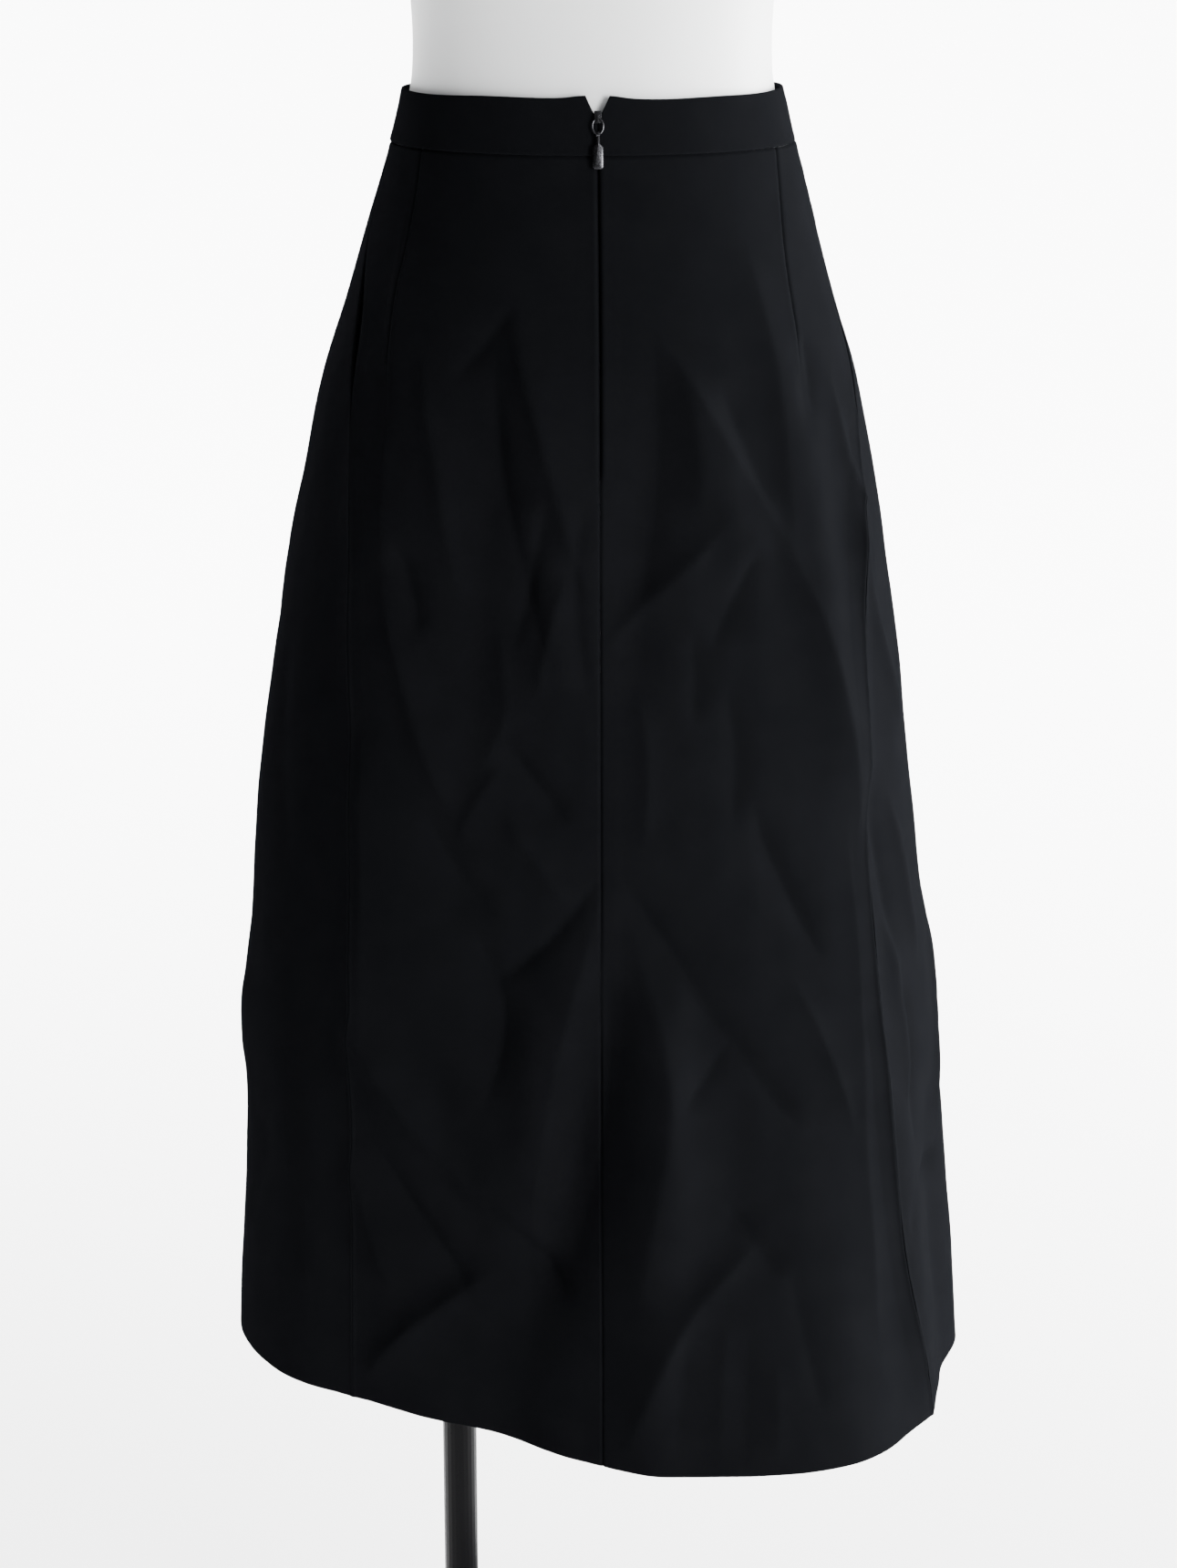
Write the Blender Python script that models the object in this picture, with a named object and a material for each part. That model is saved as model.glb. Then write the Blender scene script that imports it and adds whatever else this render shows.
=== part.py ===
"""Draped skirt on a limbless dress form.

Metres, +Z up. The front of the skirt faces -Y and the wearer's left is +X.
The origin is the centre of the stand's underside, on the floor.

A point on the cloth is named by an angle round the body, measured in degrees from
the centre back and growing towards the wearer's left, and by its drop below the top
edge of the waistband. Every cloth piece is a wall between two such surfaces.
"""
from collections import namedtuple
from math import atan, cos, pi, sin

import bmesh
import bpy
import numpy as np

# ------------------------------------------------------------------ driving sizes
WAIST_Z = 1.220            # top edge of the waistband above the floor
SKIRT_LENGTH = 0.8955      # waistband's top edge to the hem, straight down
BAND_HEIGHT = 0.0345       # waistband
BAND_PROUD = 0.0006        # the band stands this far outside the panels
BAND_WALL = 0.0026
CLOTH_WALL = 0.0020        # crepe with its seam allowances, as one wall
SEAM_GAP = 0.0003          # between two pieces that are sewn together

CENTER_BACK = -2.0         # the skirt sits turned a little: its centre back, in degrees
NOTCH_WIDTH = 0.0150       # V opening of the band at the centre back
NOTCH_DEPTH = 0.0125
NOTCH_FLICK = 0.0014       # the band's corners lift beside the V
NOTCH_FLICK_REACH = 0.0110
NOTCH_CURVE = 1.2          # above 1, the V's two edges bow inwards

TAPE_WIDTH = 0.0220        # concealed zip
TAPE_WALL = 0.0008
TAPE_TOP = 0.0030
TAPE_END = 0.2320

POCKET_TOP = 0.0850        # opening in the side seam, as drops
POCKET_END = 0.2050
POCKET_GAPE = 0.0070       # widest part of the open seam
POCKET_FLOOR = 0.2700      # lowest point of the bag
POCKET_LAP = 4.0           # degrees that the bag reaches behind the seam
POCKET_REACH = 36.0        # degrees that it reaches towards the front
POCKET_RISE = 0.0150       # the bag starts this far above the opening
POCKET_WALL = 0.0012
INNER_GAP = 0.0009         # between a wall and what lies flat inside it

POLE_X = 0.098             # the pole stands off centre, under the left hip
POLE_RADIUS = 0.0125
SOCKET_RADIUS = 0.0200
SOCKET_HEIGHT = 0.0350
SOCKET_FLARE = 0.0040      # the socket widens this much to its top
SOCKET_EDGE = 0.0010
SOCKET_PLAY = 0.0004       # between the pole and what holds it
COLLAR_RADIUS = 0.0300
COLLAR_HEIGHT = 0.0180
COLLAR_STEP = 0.0040       # height of its rim, and width of its top ring
COLLAR_EDGE = 0.0010
BASE_RADIUS = 0.1800
BASE_HEIGHT = 0.0100
BASE_EDGE = 0.0030

# Mesh steps
BACK_COLUMNS = 20
FRONT_COLUMNS = 40
SIDE_CROWDING = 0.05       # brings the front's columns closer at its tight side curves
PANEL_ROWS = 25
ROW_CROWDING = 1.18        # brings the rows closer near the waist
BAND_COLUMNS = 72
NOTCH_ROWS = (0.0, 0.35, 0.7, 1.0)          # as shares of the notch's depth
POCKET_STEPS = (12, 9)     # across and down
TAPE_STEPS = (4, 11)
RING_STEPS = (28, 8)       # along the wire and round it
BARREL_SIDES = 16
FORM_COLUMNS = 40
POLE_SIDES = 24
BASE_SIDES = 64

# ------------------------------------------------------------------------- tables
# How far the cloth stands from the axis on each side, level by level.
Level = namedtuple("Level", "drop left right back front")
SKIRT_LEVELS = (
    Level(0.000, 0.1235, 0.1235, 0.0920, 0.0900),
    Level(0.034, 0.1315, 0.1325, 0.0990, 0.0965),
    Level(0.085, 0.1475, 0.1460, 0.1140, 0.1090),
    Level(0.135, 0.1625, 0.1595, 0.1280, 0.1190),
    Level(0.185, 0.1790, 0.1755, 0.1380, 0.1270),
    Level(0.235, 0.1905, 0.1865, 0.1440, 0.1330),
    Level(0.310, 0.2045, 0.1995, 0.1500, 0.1410),
    Level(0.385, 0.2185, 0.2105, 0.1555, 0.1490),
    Level(0.465, 0.2310, 0.2205, 0.1610, 0.1570),
    Level(0.545, 0.2385, 0.2305, 0.1665, 0.1640),
    Level(0.625, 0.2460, 0.2400, 0.1725, 0.1710),
    Level(0.740, 0.2495, 0.2530, 0.1820, 0.1800),
    Level(0.8955, 0.2585, 0.2665, 0.1920, 0.1900),
)
SKIRT_SQUARENESS = 2.2     # exponent of the level's rounded outline at the hem
WAIST_SQUARENESS = 2.0
HIP_DROP = 0.3000          # where the outline reaches its full squareness

# The hem swings out over the right of the back and falls in on the left of it.
HemSwing = namedtuple("HemSwing", "angle out")
HEM_SWING = (
    HemSwing(-180, 0.000),
    HemSwing(-150, 0.010),
    HemSwing(-120, -0.006),
    HemSwing(-90, 0.000),
    HemSwing(-73, 0.000),
    HemSwing(-57, 0.024),
    HemSwing(-43, 0.044),
    HemSwing(-27, 0.037),
    HemSwing(-10, 0.021),
    HemSwing(4, 0.001),
    HemSwing(21, -0.029),
    HemSwing(40, -0.041),
    HemSwing(58, -0.044),
    HemSwing(73, -0.022),
    HemSwing(92, 0.000),
    HemSwing(125, 0.010),
    HemSwing(155, -0.008),
    HemSwing(180, 0.000),
)
SWING_START = 0.4200       # drop where the swing begins

# Hanging folds: ridges have a positive rise, troughs a negative one.
Fold = namedtuple("Fold", "top end top_angle end_angle rise width")
FOLDS = (
    Fold(0.130, 0.450, 24.0, -2.0, 0.0050, 0.024),
    Fold(0.150, 0.520, 33.0, 22.0, -0.0045, 0.024),
    Fold(0.150, 0.420, -16.0, -7.0, -0.0055, 0.020),
    Fold(0.140, 0.330, -22.0, -38.0, 0.0045, 0.020),
    Fold(0.100, 0.420, -42.0, -50.0, -0.0050, 0.018),
    Fold(0.120, 0.520, -48.0, -58.0, 0.0060, 0.022),
    Fold(0.160, 0.600, 56.0, 40.0, 0.0045, 0.026),
    Fold(0.480, 0.760, 3.0, 15.0, 0.0100, 0.026),
    Fold(0.520, 0.860, -3.0, 14.0, -0.0170, 0.026),
    Fold(0.540, 0.780, -13.0, -14.0, 0.0110, 0.026),
    Fold(0.640, 0.960, -14.0, -9.0, 0.0085, 0.022),
    Fold(0.560, 0.960, -60.0, -61.0, 0.0075, 0.022),
    Fold(0.620, 0.960, -76.0, -78.0, -0.0090, 0.026),
    Fold(0.560, 0.800, 44.0, 22.0, -0.0070, 0.024),
    Fold(0.560, 0.960, 62.0, 66.0, 0.0060, 0.030),
    Fold(0.260, 0.960, 132.0, 128.0, 0.0090, 0.036),
    Fold(0.340, 0.960, 158.0, 163.0, -0.0100, 0.036),
    Fold(0.300, 0.960, 186.0, 188.0, 0.0090, 0.038),
    Fold(0.340, 0.960, 214.0, 210.0, -0.0090, 0.034),
    Fold(0.260, 0.960, 236.0, 234.0, 0.0080, 0.036),
)
FOLD_FADE = 0.40           # share of its length over which a fold rises or dies out

# The two side seams, as angles from the centre back.
Seam = namedtuple("Seam", "drop left right")
SIDE_SEAMS = (
    Seam(0.034, 86.0, 90.0),
    Seam(0.090, 79.0, 88.0),
    Seam(0.140, 70.0, 84.0),
    Seam(0.200, 63.0, 75.0),
    Seam(0.260, 57.5, 67.0),
    Seam(0.350, 54.0, 62.5),
    Seam(0.450, 51.5, 61.0),
    Seam(0.550, 51.0, 58.5),
    Seam(0.660, 52.0, 57.0),
    Seam(0.780, 54.5, 57.0),
    Seam(0.8955, 58.0, 61.0),
)

# The dress form, from its underside to its neck. Heights are from the band's top.
Station = namedtuple("Station", "height half_width back front")
FORM_STATIONS = (
    Station(-0.3720, 0.1280, 0.0880, 0.0780),
    Station(-0.3680, 0.1400, 0.0990, 0.0880),
    Station(-0.3500, 0.1520, 0.1080, 0.0950),
    Station(-0.3100, 0.1600, 0.1160, 0.1000),
    Station(-0.2700, 0.1655, 0.1210, 0.1030),
    Station(-0.2300, 0.1665, 0.1235, 0.1040),
    Station(-0.1850, 0.1615, 0.1195, 0.1020),
    Station(-0.1350, 0.1500, 0.1110, 0.0985),
    Station(-0.0850, 0.1390, 0.1020, 0.0940),
    Station(-0.0345, 0.1289, 0.0940, 0.0905),
    Station(0.0000, 0.1185, 0.0878, 0.0865),
    Station(0.0300, 0.1165, 0.0865, 0.0870),
    Station(0.0650, 0.1185, 0.0885, 0.0905),
    Station(0.1150, 0.1280, 0.0955, 0.1000),
    Station(0.1700, 0.1400, 0.1010, 0.1160),
    Station(0.2200, 0.1470, 0.1030, 0.1230),
    Station(0.2700, 0.1480, 0.1010, 0.1080),
    Station(0.3100, 0.1530, 0.0950, 0.0900),
    Station(0.3450, 0.1500, 0.0830, 0.0740),
    Station(0.3700, 0.1290, 0.0700, 0.0620),
    Station(0.3880, 0.0960, 0.0600, 0.0550),
    Station(0.4020, 0.0680, 0.0540, 0.0540),
    Station(0.4200, 0.0560, 0.0510, 0.0560),
    Station(0.4500, 0.0530, 0.0500, 0.0580),
)
FORM_SQUARENESS = 2.0

# The cap on the neck, from its underside to its flat top.
CapLevel = namedtuple("CapLevel", "height proud")
NECK_CAP = (
    CapLevel(0.0000, 0.0000),
    CapLevel(0.0020, 0.0015),
    CapLevel(0.0080, 0.0015),
    CapLevel(0.0110, -0.0040),
    CapLevel(0.0120, -0.0140),
)

# ------------------------------------------------------------- zip pull, all sizes
SLIDER_PLATE = (0.0044, 0.0012, 0.0076)     # width, thickness, length
SLIDER_DROP = 0.0110                        # drop of the plate's middle
SLIDER_STEM = (0.0018, 0.0018)              # width and length of the stem to the tape
STEM_INSET = 0.0004                         # the stem starts this far below the plate's top end
BAIL_SHIFT = 0.0009                         # the bail sits below the plate's middle
BAIL_WIDTH = 0.0016
BAIL_EYE = (0.0022, 0.0021)                 # clear height off the plate, and length
BAIL_BAR = 0.0009
BAIL_SINK = 0.0003                          # the bail's legs start inside the plate
BRIDGE_INSET = 0.0001                       # keeps the bridge's faces off the legs' faces
RING_WIRE = 0.0006                          # radius
RING_HALF_WIDTH = 0.0034                    # to the middle of the wire
RING_HALF_LENGTH = 0.0049
TAB_BARREL = (0.0010, 0.0017, 0.0022)       # hole radius, outer radius, width
TAB_NECK = (0.0022, 0.0046)                 # width and length between barrel and tab
TAB_SIZE = (0.0066, 0.0012, 0.0155)         # width, thickness, length below the neck
TAB_CORNER = 0.0012


# ------------------------------------------------------------------ shape helpers
def smooth(share):
    """Ease from 0 to 1."""
    t = np.clip(share, 0.0, 1.0)
    return t * t * (3.0 - 2.0 * t)


def read_curve(table, along, field, at):
    """A table's field as a smooth curve through its rows."""
    xs = np.array([getattr(row, along) for row in table], dtype=float)
    ys = np.array([getattr(row, field) for row in table], dtype=float)
    slopes = np.gradient(ys, xs)
    at = np.clip(at, xs[0], xs[-1])
    i = np.clip(np.searchsorted(xs, at) - 1, 0, len(xs) - 2)
    step = xs[i + 1] - xs[i]
    t = (at - xs[i]) / step
    rise = ys[i] * (2 * t**3 - 3 * t**2 + 1) + ys[i + 1] * (3 * t**2 - 2 * t**3)
    lean = slopes[i] * (t**3 - 2 * t**2 + t) + slopes[i + 1] * (t**3 - t**2)
    return rise + step * lean


def wrap(angle):
    """The same direction between -180 and 180 degrees."""
    return (angle + 180.0) % 360.0 - 180.0


def rounded_outline(angle, left, right, back, front, squareness):
    """Distance from the axis of an outline with four different reaches."""
    turn = np.radians(angle)
    across = np.abs(np.sin(turn)) / np.where(np.sin(turn) >= 0, left, right)
    along = np.abs(np.cos(turn)) / np.where(np.cos(turn) >= 0, back, front)
    return (across**squareness + along**squareness) ** (-1.0 / squareness)


def plain_radius(angle, drop):
    """The skirt's outline at a level, before its folds."""
    reach = [read_curve(SKIRT_LEVELS, "drop", side, drop)
             for side in ("left", "right", "back", "front")]
    squareness = WAIST_SQUARENESS + (SKIRT_SQUARENESS - WAIST_SQUARENESS) * smooth(drop / HIP_DROP)
    return rounded_outline(angle, *reach, squareness)


def fold_height(fold, angle, drop, radius):
    """How far one fold moves the cloth out."""
    share = (drop - fold.top) / (fold.end - fold.top)
    grown = smooth(share / FOLD_FADE) * smooth((1.0 - share) / FOLD_FADE)
    line = fold.top_angle + (fold.end_angle - fold.top_angle) * share
    away = np.radians(wrap(angle - line)) * radius
    return fold.rise * grown * np.exp(-(away / fold.width) ** 2)


def cloth_radius(angle, drop):
    """Distance of the cloth's outer face from the axis."""
    radius = plain_radius(angle, drop)
    swing = read_curve(HEM_SWING, "angle", "out", wrap(angle))
    moved = swing * smooth((drop - SWING_START) / (SKIRT_LENGTH - SWING_START) * 0.5) * 2.0
    for fold in FOLDS:
        moved = moved + fold_height(fold, angle, drop, radius)
    return radius + moved


def cloth_point(angle, drop):
    """A point on the cloth's outer face."""
    radius = cloth_radius(angle, drop)
    turn = np.radians(angle)
    return np.stack((radius * np.sin(turn), radius * np.cos(turn), WAIST_Z - drop), axis=-1)


def cloth_normal(angle, drop):
    """The direction out of the cloth."""
    d_angle, d_drop = 0.2, 0.001
    across = cloth_point(angle + d_angle, drop) - cloth_point(angle - d_angle, drop)
    down = cloth_point(angle, drop + d_drop) - cloth_point(angle, drop - d_drop)
    normal = np.cross(across, down)
    normal /= np.linalg.norm(normal, axis=-1, keepdims=True)
    outward = np.stack((np.sin(np.radians(angle)), np.cos(np.radians(angle)), 0 * angle), axis=-1)
    facing = np.sign(np.sum(normal * outward, axis=-1, keepdims=True))
    return normal * facing


def arc_degrees(length, angle, drop):
    """The angle that a length of cloth spans at a place."""
    return np.degrees(length / cloth_radius(angle, drop))


# ------------------------------------------------------------------- mesh helpers
def clear_scene():
    for old in list(bpy.data.objects):
        bpy.data.objects.remove(old, do_unlink=True)


def make_material(name, color, roughness, metallic=0.0):
    material = bpy.data.materials.new(name)
    material.use_nodes = True
    shader = material.node_tree.nodes["Principled BSDF"]
    shader.inputs["Base Color"].default_value = (*color, 1.0)
    shader.inputs["Roughness"].default_value = roughness
    shader.inputs["Metallic"].default_value = metallic
    return material


def add_object(name, bm, material, sharp_degrees=50.0):
    """Turn a bmesh into a named object with outward faces and smooth shading."""
    bmesh.ops.recalc_face_normals(bm, faces=bm.faces)
    mesh = bpy.data.meshes.new(name)
    bm.to_mesh(mesh)
    bm.free()
    mesh.materials.append(material)
    mesh.shade_smooth()
    mesh.set_sharp_from_angle(angle=np.radians(sharp_degrees))
    piece = bpy.data.objects.new(name, mesh)
    bpy.context.scene.collection.objects.link(piece)
    return piece


def wall_mesh(outer, inner):
    """A closed wall between two grids of points with the same rows and columns."""
    rows, columns = outer.shape[:2]
    bm = bmesh.new()
    skins = [[[bm.verts.new(point) for point in row] for row in grid] for grid in (outer, inner)]
    for skin in skins:
        for i in range(rows - 1):
            for j in range(columns - 1):
                bm.faces.new((skin[i][j], skin[i][j + 1], skin[i + 1][j + 1], skin[i + 1][j]))
    edge = [(0, j) for j in range(columns)]
    edge += [(i, columns - 1) for i in range(1, rows)]
    edge += [(rows - 1, j) for j in range(columns - 2, -1, -1)]
    edge += [(i, 0) for i in range(rows - 2, 0, -1)]
    for k, (i, j) in enumerate(edge):
        m, n = edge[(k + 1) % len(edge)]
        bm.faces.new((skins[0][i][j], skins[0][m][n], skins[1][m][n], skins[1][i][j]))
    bmesh.ops.triangulate(bm, faces=bm.faces, quad_method="SHORT_EDGE")
    return bm


def cloth_wall(angles, drops, outside, wall, lift=0.0):
    """A wall that follows the cloth: its outer face stands `outside` off the cloth's."""
    points = cloth_point(angles, drops)
    normals = cloth_normal(angles, drops)
    outer = points + normals * outside
    inner = points + normals * (outside - wall)
    outer[..., 2] += lift
    inner[..., 2] += lift
    return wall_mesh(outer, inner)


def turned_mesh(profile, center, sides):
    """A closed body turned round a vertical axis from its (radius, height) profile."""
    bm = bmesh.new()
    rings = []
    for radius, height in profile:
        if radius < 1e-6:
            rings.append([bm.verts.new((center[0], center[1], height))])
            continue
        rings.append([bm.verts.new((center[0] + radius * cos(2 * pi * k / sides),
                                    center[1] + radius * sin(2 * pi * k / sides), height))
                      for k in range(sides)])
    closed_loop = len(rings[0]) > 1 and len(rings[-1]) > 1
    pairs = list(zip(rings, rings[1:]))
    if closed_loop:
        pairs.append((rings[-1], rings[0]))
    for low, high in pairs:
        for k in range(sides):
            n = (k + 1) % sides
            if len(low) == 1:
                bm.faces.new((low[0], high[n], high[k]))
            elif len(high) == 1:
                bm.faces.new((low[k], low[n], high[0]))
            else:
                bm.faces.new((low[k], low[n], high[n], high[k]))
    return bm


def capped_rings(rings):
    """A closed body through rings of points, with a flat face at each end."""
    bm = bmesh.new()
    loops = [[bm.verts.new(point) for point in ring] for ring in rings]
    count = len(loops[0])
    for low, high in zip(loops, loops[1:]):
        for k in range(count):
            n = (k + 1) % count
            bm.faces.new((low[k], low[n], high[n], high[k]))
    bm.faces.new(loops[0])
    bm.faces.new(loops[-1])
    return bm


# ------------------------------------------------------------------ the cloth
def panel_grid(first_edge, last_edge, columns, crowding):
    """Angles and drops of a panel between two edges, each given as angles by drop."""
    top = BAND_HEIGHT + SEAM_GAP
    drops = top + (SKIRT_LENGTH - top) * np.linspace(0.0, 1.0, PANEL_ROWS + 1) ** ROW_CROWDING
    across = np.linspace(0.0, 1.0, columns + 1)
    across = across - crowding * np.sin(2.0 * pi * across)
    first = first_edge(drops)[:, None]
    last = last_edge(drops)[:, None]
    angles = first + (last - first) * across[None, :]
    return angles, np.repeat(drops[:, None], columns + 1, axis=1)


def side_seam(side, drop):
    """Angle of a side seam; the left is positive."""
    sign = 1.0 if side == "left" else -1.0
    return sign * read_curve(SIDE_SEAMS, "drop", side, drop)


def pocket_gape(drop):
    """Half the width that a side seam stands open, pocket and all."""
    share = (drop - POCKET_TOP) / (POCKET_END - POCKET_TOP)
    open_part = np.where((share > 0) & (share < 1), np.sin(pi * np.clip(share, 0, 1)) ** 2, 0.0)
    return 0.5 * (SEAM_GAP + POCKET_GAPE * open_part)


def build_panels(material):
    def center_back(sign):
        return lambda drop: CENTER_BACK + sign * arc_degrees(0.5 * SEAM_GAP, 0.0 * drop, drop)

    def side(name, towards_front):
        sign = 1.0 if name == "left" else -1.0
        step = sign * (1.0 if towards_front else -1.0)

        def edge(drop):
            seam = side_seam(name, drop)
            return seam + step * arc_degrees(pocket_gape(drop), seam, drop)
        return edge

    def right_front(drop):
        return side("right", True)(drop) + 360.0

    cuts = (
        ("back_left", center_back(1.0), side("left", False), BACK_COLUMNS, 0.0),
        ("back_right", side("right", False), center_back(-1.0), BACK_COLUMNS, 0.0),
        ("front", side("left", True), right_front, FRONT_COLUMNS, SIDE_CROWDING),
    )
    for name, first, last, columns, crowding in cuts:
        angles, drops = panel_grid(first, last, columns, crowding)
        add_object(name, cloth_wall(angles, drops, 0.0, CLOTH_WALL), material)


def notch_half_width(drop):
    """Half the opening between the band's two ends."""
    share = np.clip(1.0 - drop / NOTCH_DEPTH, 0.0, 1.0)
    return 0.5 * SEAM_GAP + 0.5 * NOTCH_WIDTH * share ** NOTCH_CURVE


def build_waistband(material):
    below = np.linspace(NOTCH_DEPTH, BAND_HEIGHT, 3)[1:]
    drops = np.concatenate((np.array(NOTCH_ROWS) * NOTCH_DEPTH, below))
    margin = arc_degrees(notch_half_width(drops), 0.0 * drops, drops)[:, None]
    across = np.linspace(0.0, 1.0, BAND_COLUMNS + 1)[None, :]
    from_back = margin + (360.0 - 2.0 * margin) * across
    angles = CENTER_BACK + from_back
    drops = np.repeat(drops[:, None], BAND_COLUMNS + 1, axis=1)
    away = np.radians(np.minimum(from_back, 360.0 - from_back)) * cloth_radius(angles, drops)
    beside = np.exp(-((away - 0.5 * NOTCH_WIDTH) / NOTCH_FLICK_REACH) ** 2)
    lift = NOTCH_FLICK * beside * np.clip(1.0 - drops / NOTCH_DEPTH, 0.0, 1.0)
    add_object("waistband", cloth_wall(angles, drops, BAND_PROUD, BAND_WALL, lift), material)


def build_pockets(material):
    """The pocket pieces lie inside the panels, behind the open side seams."""
    depth = CLOTH_WALL + INNER_GAP
    for side in ("left", "right"):
        sign = 1.0 if side == "left" else -1.0
        across = np.linspace(-POCKET_LAP, POCKET_REACH, POCKET_STEPS[0] + 1)
        down = np.linspace(0.0, 1.0, POCKET_STEPS[1] + 1)
        share = np.clip((across + POCKET_LAP) / (POCKET_LAP + POCKET_REACH), 0.0, 1.0)
        rounding = np.sqrt(np.clip(1.0 - (2.0 * share - 1.0) ** 4, 0.0, 1.0))
        lowest = POCKET_END + (POCKET_FLOOR - POCKET_END) * rounding
        top = POCKET_TOP - POCKET_RISE
        drops = top + (lowest - top)[None, :] * down[:, None]
        angles = side_seam(side, drops) + sign * across[None, :]
        add_object("pocket_" + side, cloth_wall(angles, drops, -depth, POCKET_WALL), material)


def build_zip_tape(material):
    columns, rows = TAPE_STEPS
    drops = np.linspace(TAPE_TOP, TAPE_END, rows + 1)
    depth = np.where(drops < BAND_HEIGHT, BAND_WALL - BAND_PROUD, CLOTH_WALL) + INNER_GAP
    half = arc_degrees(0.5 * TAPE_WIDTH, 0.0 * drops, drops)[:, None]
    angles = CENTER_BACK + half * np.linspace(-1.0, 1.0, columns + 1)[None, :]
    drops = np.repeat(drops[:, None], columns + 1, axis=1)
    add_object("zip_tape", cloth_wall(angles, drops, -depth[:, None, None], TAPE_WALL), material)


# ------------------------------------------------------------------ zip pull
def back_surface(drop):
    """Distance of the waistband's face from the axis, at the centre back."""
    return float(cloth_radius(CENTER_BACK, drop)) + BAND_PROUD


def back_lean():
    """Angle at which the band leans out on its way down."""
    return atan((back_surface(BAND_HEIGHT) - back_surface(0.0)) / BAND_HEIGHT)


def band_frame(drop, off):
    """The (reach, z) of a place at the centre back that stands `off` the band."""
    lean = back_lean()
    return back_surface(drop) + off * cos(lean), WAIST_Z - drop + off * sin(lean)


def lean_reach(origin, out, down):
    """The (reach, z) found by going out of the band and down it."""
    lean = back_lean()
    return (origin[0] + out * cos(lean) + down * sin(lean),
            origin[1] + out * sin(lean) - down * cos(lean))


def lean_point(origin, across, out, down):
    """A point given across, out of the band and down it, from a (reach, z) place."""
    reach, z = lean_reach(origin, out, down)
    turn = np.radians(CENTER_BACK)
    return (across * cos(turn) + reach * sin(turn), reach * cos(turn) - across * sin(turn), z)


def box_mesh(origin, width, out, down):
    """A box on the band: width across, and (low, high) spans out and down."""
    half = 0.5 * width
    rings = []
    for x in (-half, half):
        corners = ((out[0], down[0]), (out[1], down[0]), (out[1], down[1]), (out[0], down[1]))
        rings.append([lean_point(origin, x, o, d) for o, d in corners])
    return capped_rings(rings)


def join_bodies(name, meshes, material):
    """Unite overlapping closed bodies into one object."""
    base = add_object(name, meshes[0], material)
    for k, bm in enumerate(meshes[1:]):
        other = add_object(name + "_add_%d" % k, bm, material)
        other.hide_render = True
        other.display_type = "WIRE"
        union = base.modifiers.new("union", "BOOLEAN")
        union.operation = "UNION"
        union.object = other
    return base


def pull_places():
    """The (reach, z) of the ring's axis and of the tab's axis."""
    off = SEAM_GAP + SLIDER_PLATE[1] + SEAM_GAP + RING_WIRE
    ring_axis = band_frame(SLIDER_DROP + BAIL_SHIFT, off)
    return ring_axis, lean_reach(ring_axis, 0.0, 2.0 * RING_HALF_LENGTH)


def build_slider(material):
    origin = band_frame(SLIDER_DROP, 0.0)
    width, thick, length = SLIDER_PLATE
    plate_top = SEAM_GAP + thick
    plate = box_mesh(origin, width, (SEAM_GAP, plate_top), (-0.5 * length, 0.5 * length))
    reach = BAND_WALL + 0.5 * SEAM_GAP
    stem_top = -0.5 * length + STEM_INSET
    stem = box_mesh(origin, SLIDER_STEM[0], (-reach, SEAM_GAP + 0.5 * thick),
                    (stem_top, stem_top + SLIDER_STEM[1]))
    eye_high, eye_long = BAIL_EYE
    middle = BAIL_SHIFT
    low, high = plate_top - BAIL_SINK, plate_top + eye_high
    top_leg = box_mesh(origin, BAIL_WIDTH, (low, high + BAIL_BAR),
                       (middle - 0.5 * eye_long - BAIL_BAR, middle - 0.5 * eye_long))
    low_leg = box_mesh(origin, BAIL_WIDTH, (low, high + BAIL_BAR),
                       (middle + 0.5 * eye_long, middle + 0.5 * eye_long + BAIL_BAR))
    bridge = box_mesh(origin, BAIL_WIDTH - BRIDGE_INSET, (high, high + BAIL_BAR - BRIDGE_INSET),
                      (middle - 0.5 * eye_long - 0.5 * BAIL_BAR, middle + 0.5 * eye_long + 0.5 * BAIL_BAR))
    join_bodies("zip_slider", (plate, stem, top_leg, low_leg, bridge), material)


def build_ring(material):
    ring_axis, _ = pull_places()
    steps, sides = RING_STEPS
    rings = []
    for k in range(steps):
        turn = 2 * pi * k / steps
        middle = (RING_HALF_WIDTH * sin(turn), RING_HALF_LENGTH * (1.0 - cos(turn)))
        tangent = np.array((RING_HALF_WIDTH * cos(turn), RING_HALF_LENGTH * sin(turn)))
        tangent /= np.linalg.norm(tangent)
        side = (tangent[1], -tangent[0])
        ring = []
        for m in range(sides):
            a = 2 * pi * m / sides
            across = middle[0] + RING_WIRE * cos(a) * side[0]
            down = middle[1] + RING_WIRE * cos(a) * side[1]
            ring.append(lean_point(ring_axis, across, RING_WIRE * sin(a), down))
        rings.append(ring)
    bm = bmesh.new()
    loops = [[bm.verts.new(point) for point in ring] for ring in rings]
    for k in range(steps):
        low, high = loops[k], loops[(k + 1) % steps]
        for m in range(sides):
            n = (m + 1) % sides
            bm.faces.new((low[m], low[n], high[n], high[m]))
    return add_object("zip_ring", bm, material)


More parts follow.
